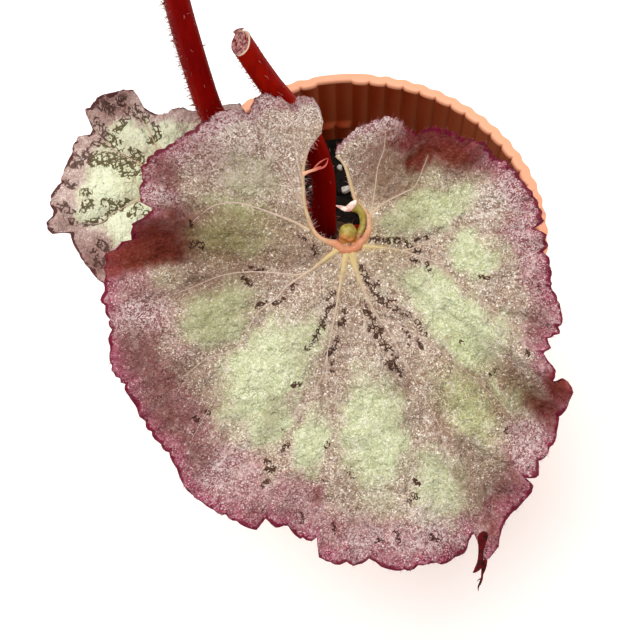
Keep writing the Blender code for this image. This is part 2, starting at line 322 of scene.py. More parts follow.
def place_camera():
    """The camera looks down on the plant's face from in front, from about 45 cm."""
    camera = link_object("camera", bpy.data.cameras.new("camera"))
    ahead = Vector((-0.01854, 0.4857, -0.87393)).normalized()
    right = Vector((0.9998, 0.0098, -0.0157))
    right = (right - ahead * right.dot(ahead)).normalized()
    turned = Matrix((right, right.cross(ahead), -ahead)).transposed().to_4x4()
    spot = Vector((0.0, -238.5, RIM_Z + 381.6)) * MM
    camera.matrix_world = Matrix.Translation(spot) @ turned
    camera.data.sensor_width = 36.0
    camera.data.lens = 98.2
    camera.data.clip_start = 0.01
    bpy.context.scene.camera = camera


def area_light(name, spot, target, size, power, colour):
    """A round soft light; its places and size are metres."""
    light = bpy.data.lights.new(name, "AREA")
    light.shape = "DISK"
    light.size = size
    light.energy = power
    light.color = colour
    lamp = link_object(name, light)
    lamp.location = spot
    lamp.rotation_euler = (Vector(target) - Vector(spot)).to_track_quat("-Z", "Y").to_euler()


def light_and_floor():
    scene = bpy.context.scene
    scene.view_settings.view_transform = "Standard"
    world = bpy.data.worlds.new("studio")
    scene.world = world
    world.use_nodes = True
    sky = world.node_tree.nodes["Background"]
    sky.inputs["Color"].default_value = (1.0, 0.985, 0.96, 1.0)
    sky.inputs["Strength"].default_value = 0.54
    area_light("window", (-0.36, 0.04, 1.10), (0.0, 0.0, 0.08), 1.6, 17.6, (1.0, 0.985, 0.96))
    area_light("side_fill", (0.95, -0.10, 0.75), (0.0, 0.0, 0.02), 0.8, 2.4, (1.0, 0.99, 0.98))
    # painted light: the paper glows a little, which pales the shadows that fall on it
    white = (1.0, 1.0, 1.0, 1.0)
    paper = Finish("paper", Roughness=0.9, Emission_Color=white, Emission_Strength=0.12)
    paper.done(paper.mix(paper.noise(60), (0.97, 0.97, 0.965), (0.985, 0.985, 0.98)))
    half = 3.0  # metres
    corners = [(-half, -half, 0), (half, -half, 0), (half, half, 0), (-half, half, 0)]
    floor_mesh = bpy.data.meshes.new("floor")
    floor_mesh.from_pydata(corners, [], [(0, 1, 2, 3)])
    floor_mesh.materials.append(paper.material)
    floor = link_object("floor", floor_mesh)


place_camera()
light_and_floor()


# ---------------------------------------------------------------- pot

FLUTES = 64
FLUTE_PHASE = 90.3
BASE_RADIUS = 41.5
VALLEY_DEPTH = 0.9
GROOVE_WALL = 2.6
BULGE_WALL = 3.4
LIP_RADIUS = 0.75
FLOOR_THICKNESS = 2.2
LABEL_DEPTH = 17.3
LABEL_INSIDE = (0, 2)  # which flutes, counted from the phase, are plain in the label field: from, to
LABEL_OUTSIDE = (-1, 2)
DRAIN_HOLES, DRAIN_RADIUS, DRAIN_CIRCLE = 5, 4.0, 25.0
FLUTE_STEPS = 10


def rib_radius(height):
    """The radius of the pot's outside at the backs of its ribs."""
    return BASE_RADIUS + (RIM_RADIUS - BASE_RADIUS) * height / RIM_Z


def rounded(position):
    """Height of a flute's round back, 0 at the sharp line beside it and 1 in the middle."""
    off = 2 * (position - np.floor(position)) - 1
    return np.sqrt(np.clip(1 - off ** 2, 0, 1)) ** 0.85


def pot_profile():
    """Stations up the outside, over the rounded lip and down the inside: (side, height, inset)."""
    lip, field, floor = LIP_RADIUS, RIM_Z - LABEL_DEPTH, FLOOR_THICKNESS
    outside = (*np.linspace(4, field - 1.5, 8), *np.linspace(field - 0.9, field + 0.9, 6),
               *np.linspace(field + 2, RIM_Z - lip, 4))
    inside = (RIM_Z - lip - 0.1, RIM_Z - lip - 0.4, *np.linspace(RIM_Z - 3.5, field + 2.6, 4),
              *np.linspace(field + 1.6, field - 1.4, 9), 64.0, 40.0, floor + 1.0)
    bend = [(RIM_Z - lip + lip * math.sin(a), lip * (1 - math.cos(a)))
            for a in np.linspace(0, math.pi / 2, 6)[1:]]
    return [("out", 0.0, 1.3), ("out", 0.35, 0.5), ("out", 1.2, 0.0), *(("out", z, 0.0) for z in outside),
            *(("out", *spot) for spot in bend), *(("in", *spot) for spot in bend[::-1]),
            *(("in", z, 0.0) for z in inside), ("in", floor + 0.3, 0.4), ("in", floor, 1.2)]


def pot_finish():
    """Matt moulded plastic, dusty outside, and darker inside: painted shade, deepest at the back and on one
    flank of each flute.
    """
    finish = Finish("pot_plastic", Roughness=0.42, Specular_IOR_Level=0.45)
    cloudy = finish.noise(14, 3)
    colour = finish.mix(cloudy, (0.82, 0.355, 0.200), (0.88, 0.405, 0.240))
    dust = finish.span(finish.noise(1.6, 4, 0.7), 0.58, 0.78)
    colour = finish.mix(finish.times(dust, 0.18), colour, (0.90, 0.60, 0.46))
    # painted shade of the inside, standing in for the shadow within the pot
    damp = finish.times(finish.value("damp"), finish.span(cloudy, 0.3, 0.7, 0.88, 1.0))
    shade = finish.mix(damp, (0.50, 0.150, 0.060), (0.28, 0.030, 0.002))
    colour = finish.mix(finish.value("inside"), colour, shade)
    return finish.done(colour, finish.bump(finish.noise(0.5, 3, 0.6), 0.05, 0.35),
                       finish.span(finish.noise(5, 3), 0.3, 0.7, 0.36, 0.5))


def build_pot():
    """The fluted wall, with a plain label field at the back, and a floor with drainage holes."""
    columns = FLUTES * FLUTE_STEPS
    position = np.arange(columns) / FLUTE_STEPS
    bearing = np.radians(FLUTE_PHASE) + position * 2 * math.pi / FLUTES
    signed = np.where(position > FLUTES / 2, position - FLUTES, position)
    # painted shade: the inside is darker along one side of each inner flute, and at the back
    shaded_flank = smoothstep(position - np.floor(position), 0.0, 0.75)
    damp = (0.45 + 0.55 * smoothstep(np.abs(signed - 0.5), 10.0, 3.5)) * (0.62 + 0.45 * shaded_flank)
    points, inside = [], []
    for side, height, inset in pot_profile():
        rib_face = rib_radius(height)
        fade = smoothstep(height, 0.0, 2.5)
        from_label = RIM_Z - LABEL_DEPTH - height
        if side == "out":
            # ribs stand on the phase lines, so the round backs lie half a flute off them
            soft = smoothstep(height, RIM_Z - 4.0, RIM_Z - 1.0)
            wave = 0.5 - 0.5 * np.cos(2 * math.pi * (position + 0.5))
            back = rounded(position + 0.5) * (1 - soft) + wave * soft
            field = (signed > LABEL_OUTSIDE[0]) & (signed < LABEL_OUTSIDE[1])
            back = np.where(field & (from_label < 0), 1.0, back)
            valley = VALLEY_DEPTH * (1 - 0.45 * soft)
            radius = rib_face - valley * (1 - back * fade) * fade - inset
        else:
            # inner flutes bulge between the phase lines; under the label field they start round again
            proud = rounded(position) * (BULGE_WALL - GROOVE_WALL)
            field = (signed > LABEL_INSIDE[0]) & (signed < LABEL_INSIDE[1])
            swell = smoothstep(from_label, -1.3, 0.6)
            proud = np.where(field, proud * swell * (1 + 0.5 * math.exp(-(from_label - 0.6) ** 2)), proud)
            radius = rib_face - GROOVE_WALL - proud + inset
            radius = np.where(height <= FLOOR_THICKNESS + 0.3, rib_face - BULGE_WALL - inset, radius)
        inside.append(np.full(columns, smoothstep(RIM_Z - height, 0.80, 1.10) if side == "in" else 0.0))
        points.append(np.stack((radius * np.cos(bearing), radius * np.sin(bearing),
                                np.full(columns, height)), -1))
    rows = len(points)
    values = {"inside": np.concatenate(inside), "damp": np.tile(damp, rows)}
    drill_pot(make_piece("pot_body", np.vstack(points), barrel_faces(rows, columns), [pot_finish()],
                         "pot_plastic", ["pot"], 50, values))


def drill_pot(pot):
    """Drainage holes through the floor, cut with one tool and applied."""
    holes = Parts()
    for hole in range(DRAIN_HOLES):
        turn = 2 * math.pi * (hole + 0.25) / DRAIN_HOLES
        middle = np.array((math.cos(turn), math.sin(turn), 0)) * DRAIN_CIRCLE
        holes.tube([middle - (0, 0, 3), middle + (0, 0, FLOOR_THICKNESS + 3)], DRAIN_RADIUS, sides=40)
    mesh = bpy.data.meshes.new("drill")
    mesh.from_pydata((np.vstack(holes.points) * MM).tolist(), [], holes.faces)
    drill = link_object("drill", mesh)
    cut = pot.modifiers.new("drain", "BOOLEAN")
    cut.operation, cut.solver, cut.object = "DIFFERENCE", "EXACT", drill
    shape = bpy.data.meshes.new_from_object(pot.evaluated_get(bpy.context.evaluated_depsgraph_get()))
    pot.modifiers.clear()
    pot.data = shape
    bpy.data.objects.remove(drill)


build_pot()


# ---------------------------------------------------------------- soil

SOIL_LEVEL = 66.0
SOIL_GAP = 0.3  # between the soil and the pot
SOIL_FOOT = FLOOR_THICKNESS + SOIL_GAP
STEM_CLEARANCE = 6.5  # from the rhizome's middle line to the nearest loose grain
RHIZOME = (
    (-21, 10.5, -19, 3.0), (-17.5, 9.8, -18.7, 5.6), (-12, 10, -18.5, 6.4), (-7, 8.6, -18.5, 5.9),
    (-1, 6, -18.5, 6.3), (4, 5, -18.1, 5.2), (7.5, 5, -17.1, 3.0),
)
RHIZOME_LINE = plant_route(RHIZOME, 60)


def soil_height(x, y):
    broad, middle, fine = (value_noise(x, y, cell, seed) for cell, seed in ((8.0, 3), (3.0, 4), (1.2, 5)))
    return SOIL_LEVEL + 0.2 + (1.1 * broad + 0.6 * middle + 0.25 * fine)


def stem_distance(x, y):
    """Distances, seen from above, from points to the stations along the rhizome."""
    x, y = np.asarray(x)[..., None], np.asarray(y)[..., None]
    return np.hypot(x - RHIZOME_LINE[:, 0], y - RHIZOME_LINE[:, 1])


def soil_finish():
    finish = Finish("peat", Roughness=0.95, Specular_IOR_Level=0.2)
    colour = finish.mottle((0.004, 0.003, 0.002), (0.016, 0.010, 0.006), (1.4, 4, 0.65), 0.35, 0.7)
    flecks = finish.span(finish.cells(1.1), 0.0, 0.16, 1.0, 0.0)
    colour = finish.mix(finish.times(flecks, 0.35), colour, (0.05, 0.03, 0.018))
    return finish.done(colour, finish.bump(finish.noise(0.7, 5, 0.7), 0.5))


def perlite_finish():
    finish = Finish("perlite", Roughness=0.85, Specular_IOR_Level=0.3)
    colour = finish.mottle((0.72, 0.70, 0.64), (0.36, 0.30, 0.22), (1.2, 3, 0.7), 0.45, 0.75)
    return finish.done(colour, finish.bump(finish.noise(0.5, 3), 0.25))


def pebble(parts, middle, size, rng, squash):
    """A rough grain: a sphere whose rings and sides are pushed about."""
    sides, rings = 9, 6
    turn = circle(sides) + rng.uniform(0, 1)
    tilt = unit(rng.normal(size=3))
    other = unit(np.cross(tilt, rng.normal(size=3)))
    third = np.cross(tilt, other)
    points = []
    for lift in np.linspace(-0.96, 0.96, rings):
        radius = math.sqrt(1 - lift ** 2) * (1 + rng.uniform(-0.22, 0.22, sides))
        points.append(np.outer(radius * np.cos(turn), other) + np.outer(radius * np.sin(turn), third)
                      + tilt * lift * squash)
    parts.add(np.asarray(middle) + np.vstack(points) * size, barrel_faces(rings, sides))


def scatter(rng, count, reach):
    """Even random spots on the soil, none on the rhizome."""
    spots = []
    while len(spots) < count:
        x, y = rng.uniform(-reach, reach, 2)
        if math.hypot(x, y) < reach and np.min(stem_distance(x, y)) >= STEM_CLEARANCE:
            spots.append((x, y, float(soil_height(x, y))))
    return spots


def build_soil():
    """Loose dark substrate up to its level, with perlite, chips and crumbs on top."""
    peat, perlite = soil_finish(), perlite_finish()
    rings, columns = 84, 260
    beside_wall = 0.985  # share of the radius where the soil sinks to the pot
    share = np.linspace(0, 1, rings)[1:, None]
    turn = circle(columns)[None, :]
    reach, low = (rib_radius(height) - BULGE_WALL - SOIL_GAP for height in (SOIL_LEVEL, SOIL_FOOT))
    x, y = reach * share * np.cos(turn), reach * share * np.sin(turn)
    # the soil is hollowed for the rhizome and heaped up along it
    dip = np.min(stem_distance(x, y) - RHIZOME_LINE[:, 3], axis=-1)
    z = soil_height(x, y) - 3.6 * smoothstep(-dip, -1.2, 0.9) + 1.1 * np.exp(-((dip - 2.2) / 1.6) ** 2)
    z = np.where(share > beside_wall, SOIL_LEVEL - 0.6, z)
    wall = np.stack((low * np.cos(turn[0]), low * np.sin(turn[0]), np.full(columns, SOIL_FOOT)), -1)
    points = np.vstack((np.stack((x, y, z), -1).reshape(-1, 3), wall, [[0, 0, float(soil_height(0, 0))]]))
    foot, middle = (rings - 1) * columns, len(points) - 1
    faces = grid_faces(rings, columns, closed=True)
    faces.append(tuple(reversed(range(foot, foot + columns))))
    faces += [(middle, c, (c + 1) % columns) for c in range(columns)]
    make_piece("soil_bed", points, faces, [peat], "soil", ["soil"], 180)

    rng = np.random.default_rng(11)
    crumbs, grains = Parts(), Parts()
    for parts, count, reach, sizes, lift, squash in ((crumbs, 620, 42.5, (0.45, 1.5), 0.2, (0.5, 0.9)),
                                                     (grains, 46, 42.0, (0.6, 1.7), 0.35, (0.7, 1.0))):
        for x, y, z in scatter(rng, count, reach):
            size = rng.uniform(*sizes)
            pebble(parts, (x, y, z + lift * size), size, rng, rng.uniform(*squash))
    pebble(grains, (-1.9, 26.0, RIM_Z - 20.6), 1.3, rng, 0.7)
    crumbs.piece("soil_crumbs", peat, "soil", 35)
    grains.piece("perlite_grains", perlite, "soil", 40)


build_soil()


# ---------------------------------------------------------------- leaf blades

# Places on a blade are (across, along) from the junction, where its petiole ends, and bearings are degrees
# round the junction: -90 is the leaf's tip, and 90 its sinus.
#
# junction, normal, tip: where the petiole ends, the way the upper face looks, and towards the leaf's tip.
# rim, sinus: (bearing, distance) of the outer margin, and of where the blade starts.
# lean: (bearing, width, near, far, degrees) of teeth that lean over a notch between two distances.
# swell, curl: (bearing, height) of broad folds that grow towards the margin, and of the last centimetre.
# band: (bearing, width) of the mauve zone along the margin.
# islands: (across, along, half length, half width, strength) of pale green ovals that point at the junction.
# bare, dusk, olive, shine: the same for red skin without glitter, which is painted shade
# of slopes turned from the light; for deeper-coloured skin, partly painted shade of folds; for yellower
# skin;
# and for a painted highlight on the whitest skin.
# marks: (half width, route) of the dark strokes beside the veins.
# veins: (base radius, end radius, route).
# droop: how much the blade sags, with the square of the distance.
# ruffle, waves, frill: height and number of the margin's waves, and height of the finer ones on them.
# scallop, scallops: depth and number of the margin's small rounded teeth.
# seed: the first seed of the blade's noise.
Leaf = namedtuple("Leaf", "junction normal tip rim lean sinus swell curl band islands bare dusk olive shine "
                          "marks veins droop ruffle waves frill scallop scallops seed")

MAIN_LEAF = Leaf(
    junction=(-0.6, -20.4, 27), normal=(0, -0.5, 0.866), tip=(0, -0.866, -0.5),
    rim=(
        (-257.6, 30.5), (-257.4, 33.2), (-255.6, 36), (-251, 37.6), (-247, 36.4), (-244.8, 38.9),
        (-240.6, 41.7), (-237, 42), (-234, 40.9), (-232.6, 39.6), (-230.4, 42), (-226, 44.6), (-220.4, 46),
        (-213, 48), (-208.8, 49.5), (-204.3, 52.3), (-200.1, 53.6), (-196.6, 51.8), (-193.6, 52),
        (-191, 51), (-190, 48.2), (-187.7, 48.6), (-185, 52.7), (-182, 52.8), (-181, 53), (-180.5, 55.6),
        (-178.6, 56.9), (-177.6, 59.2), (-174.3, 59.9), (-171.3, 60.1), (-167.2, 61.8), (-161, 61.1),
        (-156, 63.1), (-152, 64.9), (-147.6, 64.4), (-143, 65.0), (-136, 66.7), (-129.8, 67.2), (-126, 70),
        (-121.5, 71.9), (-113, 72.5), (-108, 72.9), (-107, 70), (-104.5, 70.6), (-102.3, 70.3),
        (-99.4, 73.1), (-97.2, 72.6), (-96.4, 71.6), (-95.6, 76.4), (-93, 77.8), (-90.5, 77), (-88.5, 78),
        (-86.5, 76.1), (-84.5, 78.7), (-80, 80.3), (-76.5, 79.4), (-74.2, 80.8), (-71.5, 81), (-69.6, 80.4),
        (-68.8, 79.3), (-68.1, 77.6), (-67.2, 76.2), (-66.8, 76.2), (-66.4, 79.8), (-66.0, 83.6),
        (-65.1, 83), (-63.3, 81.6), (-62.8, 79.8), (-61.8, 78.2), (-60.4, 77.1), (-58.2, 76.3), (-56, 74.9),
        (-54.4, 74.4), (-53.7, 73.4), (-53.4, 70.4), (-53.0, 71.0), (-52.3, 72.0), (-51, 71.6), (-49, 69.4),
        (-46.5, 69.4), (-43, 68.3), (-40.2, 65.9), (-38.3, 65.3), (-37.3, 64.5), (-36.4, 63.6),
        (-35.2, 62.2), (-34.8, 60.1), (-34.5, 59.5), (-34.4, 58.8), (-34.2, 58.2), (-33, 58.1), (-31.8, 58),
        (-31.2, 56.5), (-30.8, 55), (-29.8, 52.9), (-29.2, 52.8), (-27.5, 53.8), (-25.7, 52.3),
        (-23.4, 54.4), (-19.5, 53.6), (-16, 52.3), (-12, 49), (-8, 48.6), (-4, 47.5), (-2.8, 46.6),
        (-0.5, 47.3), (2.5, 46.8), (4.6, 44.7), (6.5, 46.4), (9.5, 46.2), (14, 45.4), (20, 43.6), (28, 42),
        (30, 40.4), (37, 39.4), (42, 36.6), (48, 35.3), (56, 32.8), (58.4, 30), (62, 30.3), (65.4, 30.1),
        (66.5, 32.1), (74, 31.6), (81, 29.4), (87, 27.5), (92, 25.4), (97, 23.6), (99.2, 22.2),
    ),
    lean=((-36, 3.5, 58.4, 60.2, 2.8), (-65.5, 2.5, 76.5, 82, -1.0), (-53, 2.0, 70.6, 72.6, 1.0)),
    sinus=(
        (-257.6, 29.6), (-255.6, 27.2), (-253.6, 26.4), (-250.6, 25.8), (-244.5, 23.8), (-237.3, 20.7),
        (-233.4, 18.7), (-226.3, 15.8), (-211, 11.6), (-201.7, 9.7), (-192.5, 7.8), (-182.8, 5.2),
        (-174, 3.2), (-166, 0), (0, 0), (4, 2.6), (25, 4.5), (43, 6.3), (57, 8), (69.5, 8.9), (80, 9.7),
        (86, 11.2), (90, 14), (90.8, 16.2), (93, 17.9), (95.6, 19.2), (98.2, 20), (99.2, 21.2),
    ),
    swell=(
        (-256, -2.5), (-240, -3.5), (-222, -3.5), (-205, -0.5), (-194, 2.4), (-188.5, 2.6), (-181, -1.4),
        (-173, -3.8), (-166, -2.2), (-155, 1.2), (-146, 0.4), (-137, -1.4), (-124, 0.8), (-114, 0.4),
        (-106, 1.2), (-98, -0.6), (-90, 1.0), (-78, 0.8), (-70, -2.4), (-66, 1.8), (-60, -2.2), (-53, 1.6),
        (-49, 1.4), (-41, -3.2), (-37, -1.0), (-33, 2.4), (-29.5, 2.8), (-24, 1.2), (-12, -0.4), (2, -1.2),
        (9, 0.8), (18, -0.2), (30, -0.8), (40, 0.4), (56, 0.6), (66, -0.6), (80, -2.4), (99, -2.0),
    ),
    curl=(
        (-256, -0.6), (-235, -0.8), (-212, -0.6), (-198, -0.8), (-190, 0.6), (-182, -0.4), (-160, 0.4),
        (-150, 1.1), (-141, 0.1), (-130, 1.1), (-121, 0.1), (-110, 0.9), (-101, -0.3), (-90, 0.8),
        (-70, 0.4), (-50, 0.4), (-30, 1.2), (-10, 0.4), (8, 0.9), (22, -0.3), (31, 1.2), (37, 3.4),
        (48, 4.6), (58, 4.2), (64, 1.8), (68, -0.4), (84, -1.4), (99, -0.8),
    ),
    band=(
        (-256, 3.5), (-232, 5.5), (-215, 8), (-200, 12), (-188, 17), (-170, 15), (-150, 20), (-135, 22),
        (-118, 21), (-100, 19), (-88, 17), (-74, 15), (-62, 13), (-50, 12), (-36, 9), (-20, 11), (-5, 12),
        (12, 11), (28, 9), (45, 10), (58, 9), (70, 4), (99, 2),
    ),
    islands=(
        (-21, -32, 15, 9, 1.0), (-32.5, -17.5, 10, 7, 0.85), (-11.5, -24, 10, 5, 0.7),
        (5.5, -44.5, 14, 8.5, 1.0), (-9, -48, 8, 4.5, 0.9), (-19, -43, 8, 5.5, 0.85),
        (24.5, -16.5, 14, 6.5, 1.0), (17, -11, 9, 5.5, 0.75), (29.5, -3, 6.5, 6, 1.0), (19, 8, 13, 6, 0.9),
        (17, 17, 6, 5, 0.4), (-29.5, 1, 12, 5, 0.6), (-27, 7.5, 9, 4, 0.6), (-25, 16.5, 9, 6.5, 0.6),
        (28, -40, 12, 7.5, 0.55), (20.5, -58, 11, 6, 0.7), (38, -35.5, 8, 2.2, 0.6), (-44, -8, 5, 3, 0.35),
        (7, -60, 8, 6, 0.35), (10, 16, 6, 6, 0.3), (28, -25, 8, 5, 0.9),
    ),
    bare=(
        (-52.5, -0.5, 15, 6.0, 1.2), (-56, -2.5, 9, 6, 1.3), (-43.5, 4.2, 6.5, 5, 0.65),
        (22, 25.5, 6.0, 12, 1.05), (13, 25, 4.5, 6, 0.9), (10, 19, 12, 9, 0.45), (17.5, 20.5, 6, 3.2, 1.0),
        (40, 11, 5, 4, 0.35), (51, -34.5, 5, 4.5, 1.0), (48.5, -41.2, 9, 4, 0.85), (41, -31.5, 8, 1.4, 0.3),
        (39, -54.5, 7, 2.2, 0.5), (34, -69, 8, 4.5, 0.55), (-42.5, -43, 6, 2.6, 0.35),
        (-45, -33.5, 7, 4, 0.45), (-47, -23, 5, 3, 0.5), (22, -45, 5, 3, 0.4), (46, -20, 4, 6, 0.35),
        (-34, 21, 9, 5, 0.5), (-7, -61, 3, 2.4, 0.4), (28.5, 23, 3, 4, 0.8), (28, 18.5, 7, 3, 0.35),
        (33, 17, 6, 6, 0.35), (36, -64, 8, 8, 0.38), (-51, -27, 7, 12, 0.42), (-44, -42, 7, 9, 0.42),
        (-44, 17, 7, 6, 0.45),
    ),
    dusk=(
        (-44.5, 17, 6, 5, 0.5), (29, 18, 8, 4, 0.4), (17, 20, 7, 5, 0.4), (-34, 1, 20, 10, 0.85),
        (-33, -8, 18, 8, 0.7), (-20, 4, 12, 7, 0.6), (-12, -3, 8, 4, 0.7), (-40, -36, 9, 13, 0.55),
        (-38, -49, 6, 6, 0.7), (-20, -67, 5, 6, 0.5), (42, -36, 10, 6, 0.65), (36, -40, 8, 4, 0.5),
        (10, 19, 11, 10, 0.65), (18, 21, 5, 9, 0.45), (12, 5, 8, 4, 0.55), (12.5, -34, 6, 4, 0.5),
        (29, -58, 8, 4, 0.7), (-28, 14, 14, 8, 0.4), (-19, -41, 5, 3, 0.5), (37, -57, 5, 3, 0.5),
        (45, -18, 4, 5, 0.5), (-2, -24, 14, 3, 0.3), (-43, -10, 10, 4, 0.6), (22, 15, 6, 9, 0.3),
        (29, -33, 8, 3, 0.45), (-46, 3, 9, 8, 0.6), (-32, -17.5, 12, 8, 0.5), (-51, -27, 9, 12, 0.65),
        (-44, -40, 9, 10, 0.65), (30, -38, 9, 6, 0.22), (0, -63, 12, 9, 0.18), (-7, -27, 12, 8, 0.22),
        (2, -70, 8, 12, 0.10), (13, -4, 8, 5, 0.30), (-24, 17, 9, 8, 0.50), (17, -39, 5, 9, 0.28),
        (38, 0, 5, 8, 0.15), (36, -13, 5, 8, 0.2), (40, -14, 9, 8, 0.22), (38, -31, 9, 2.5, 0.5),
        (20, 23.5, 6, 12, 0.35), (-38, 7, 12, 5, 0.7), (-46, -11, 12, 5, 0.6), (12, 22, 8, 9, 0.35),
        (-18, 2, 10, 5, 0.5), (-10, -3, 8, 4, 0.5), (4, 17, 7, 4, 0.4), (37, -58, 7, 4, 0.6),
        (29, -50, 7, 3.5, 0.5),
    ),
    olive=(
        (28.5, -38.5, 12, 7, 0.9), (-32, -17, 9, 7, 0.35), (17, 9, 10, 6, 0.3), (-29.8, 1.2, 11, 6, 0.9),
        (-24, 4, 13, 7, 0.7), (8, -2, 7, 6, 0.5), (27, -26, 12, 3, 0.5), (0, -8, 9, 7, 0.3),
        (39, -34, 8, 3, 0.7),
    ),
    shine=(
        (-27, 24, 15, 11, 0.8), (-20, 33.5, 2.5, 6, 0.9), (-11, 31, 3, 5, 0.8), (-31, 27.5, 4, 7, 0.9),
        (5, 28.5, 5, 8, 1.0), (37, 11, 8, 5, 0.8), (-51, -17, 8, 4.5, 1.2), (-49, -21, 6, 4, 0.6),
        (44, 2, 5, 10, 0.6), (50, -18, 5, 5, 0.5), (4, -74, 5, 5, 0.6), (20, -70, 7, 6, 0.6),
        (44, -48, 8, 6, 0.6), (-46.5, 11.5, 7, 3.2, 1.0), (-49.5, 16, 2, 5, 0.6), (-38, 21, 7, 5, 0.8),
        (-34, 23, 6, 5, 0.5), (30, -74, 6, 4, 0.4), (-30, -56, 6, 5, 0.4),
    ),
    marks=(
        (0.7, ((-4, -12), (-5, -13.5), (-4, -14.5), (-5.3, -16))),
        (0.75, ((-6.2, -18), (-6.6, -20), (-7.8, -22), (-10, -25))), (0.8, ((-1.4, -16.5), (-2, -19.5))),
        (0.6, ((-2.8, -22.5), (-3.8, -25), (-5.2, -26.5))), (0.6, ((-4.3, -28.5), (-4.2, -30.5))),
        (0.75, ((2.6, -6), (3.8, -8.3), (5.2, -10), (6.6, -12.8), (8.2, -14.3))),
        (0.55, ((5, -9.5), (7, -9.5))), (0.65, ((8.2, -14.3), (11, -15.7), (14, -17))),
        (0.55, ((7.2, -14.2), (10.5, -13.5))), (0.55, ((16, -18.8), (18, -21.7))),
        (0.65, ((3, -14.2), (4, -16.5), (5.5, -18), (6.3, -20))),
        (0.75, ((4.8, -20.5), (7.4, -20.2), (6.5, -22.4))),
        (0.8, ((7.8, -24), (9.6, -25.5), (10.8, -27.5), (9, -28.6), (10.6, -29.8), (12.5, -31.2))),
        (0.7, ((4.3, 0.3), (6.3, 1), (7.5, 0.3), (11, 0.7), (13.2, 0), (14.6, -1.5), (16.2, -2))),
        (0.5, ((15.6, 0.7), (18.6, 1.4))), (0.45, ((12.7, -20.2), (14, -22), (13.9, -24.5))),
        (0.45, ((16.2, -23), (17.2, -25))), (0.45, ((14.8, -4), (16.2, -4.5))),
        (0.5, ((18.4, -4.7), (19.3, -7))), (0.65, ((-13, -10), (-14.5, -11.5))),
        (0.6, ((-16, -13.6), (-18, -14.3))), (0.55, ((-20.5, -14), (-22.2, -15.2))),
        (0.7, ((-25.7, -8.6), (-23.8, -9.8))), (0.45, ((-12, 1.5), (-10.5, 0.5))),
        (0.5, ((-9, -0.2), (-8, -3.1))), (0.95, ((-37.7, -0.4), (-35.8, -0.7))),
        (0.5, ((-38.2, 5), (-37.7, 3.4))), (0.45, ((-23.8, -6), (-21, -6.4))),
        (0.8, ((-37.2, -42.3), (-34.4, -41))),
        (0.5, ((-20.3, -52.5), (-18, -53.2), (-18.6, -55.2), (-20.5, -54.2))),
        (0.5, ((-21, -58.5), (-19.5, -57))), (0.45, ((-1, -54.2), (1, -56.3))),
        (0.55, ((-7.1, -56.1), (-6.2, -56.3))), (0.5, ((-5, -47.7), (-5.7, -49))),
        (0.5, ((-15.7, -43.2), (-16, -45))), (0.6, ((-13.6, -34), (-12, -33.6))),
        (0.5, ((-16.4, -49.6), (-14.8, -48.4))), (0.6, ((41.2, -16.4), (41.9, -17.6))),
        (0.6, ((41.7, -25.9), (42.4, -26.4))), (0.6, ((34, -31.2), (35.3, -30.7))),
        (0.5, ((31, -8), (33, -8.2))), (0.5, ((36.5, -44), (38.2, -45.2))),
        (0.5, ((45.2, -10.5), (45.7, -12))), (0.8, ((20, -71), (21.8, -71.6))),
        (0.55, ((14, -62), (16.5, -61))), (0.45, ((15, -60), (15.6, -60.4))),
        (0.5, ((15.6, -57.2), (16.5, -58))), (0.4, ((27, -23.8), (25.8, -23))),
        (0.5, ((6.2, -71.8), (7.8, -71.4))), (0.6, ((11.2, -69.5), (11.8, -71.5))),
        (0.6, ((-12, -65.4), (-11.6, -67.4))), (0.5, ((-20.6, -64.4), (-20.2, -66))),
        (0.45, ((-4, -67.5), (-3.6, -69.6))),
    ),
    veins=(
        (0.9, 0.09, ((-1.6, -0.9), (-4, -2.4), (-7.4, -5), (-10, -6.9), (-13.1, -7.6), (-18.1, -7.1),
                     (-24.5, -6.9), (-31, -7.8), (-39, -11), (-50, -15))),
        (0.42, 0.09, ((-9.4, -6.5), (-15.2, -10.5), (-17.6, -13.3), (-22.2, -16.9), (-26, -23.4),
                      (-28.9, -27.4), (-32, -36), (-38, -47))),
        (0.15, 0.06, ((-28.2, -26), (-34.4, -27.7), (-41, -33))),
        (1.2, 0.08, ((-0.5, -1.2), (-1.5, -6), (-2.5, -11), (-3.5, -16.7), (-5.4, -26.2), (-6.6, -31.9),
                     (-10.2, -37.2), (-12.8, -42), (-15.2, -45.6), (-20, -48.9), (-24.1, -51.8),
                     (-31, -60))),
        (0.16, 0.06, ((-5.4, -26.2), (-5.6, -36), (-4.2, -43.9), (-2.3, -50.6), (0.5, -56), (1.5, -70))),
        (1.3, 0.08, ((0.4, -1.2), (1.2, -5.5), (3.4, -11.6), (6.7, -17.6), (9.6, -21.7), (12.7, -27.2),
                     (16.7, -35), (21.5, -44), (25, -56), (29, -70))),
        (0.18, 0.06, ((7.2, -18.2), (13.6, -20.5), (17.7, -23.1), (22.2, -26.2), (27, -30), (36, -38),
                      (45, -48))),
        (0.6, 0.08, ((1.6, -0.6), (7.7, -1.2), (12.7, -1.9), (20, -4.5), (22.7, -7.1), (31, -13.6),
                     (40, -20), (49, -22.5))),
        (0.18, 0.06, ((12, -1.8), (15, -1.2), (20, 1), (26, 3.3), (35.7, 6.4), (43, 7.5))),
        (0.34, 0.06, ((4.6, 6.2), (5.5, 7.4), (8.6, 9.8), (12.6, 11.9), (15.5, 13.6), (17.6, 18.3),
                      (18.6, 21))),
        (0.2, 0.06, ((5, 6.8), (6, 13.3), (6.7, 18.3), (8.1, 22.4), (8.5, 27))),
        (0.55, 0.12, ((-9.6, 2.9), (-13.3, 5), (-18.1, 6.9), (-24.5, 9.1), (-28.8, 9.6), (-33.1, 8.6),
                      (-37.5, 5.2))),
        (0.16, 0.06, ((-11, 9), (-15, 16), (-20, 24), (-24, 33))),
        (0.15, 0.06, ((-11.6, 15), (-13, 22), (-14, 30), (-16, 35))),
    ),
    droop=0.0012, ruffle=0.45, waves=22, frill=0.6, scallop=0.85, scallops=110, seed=1,
)
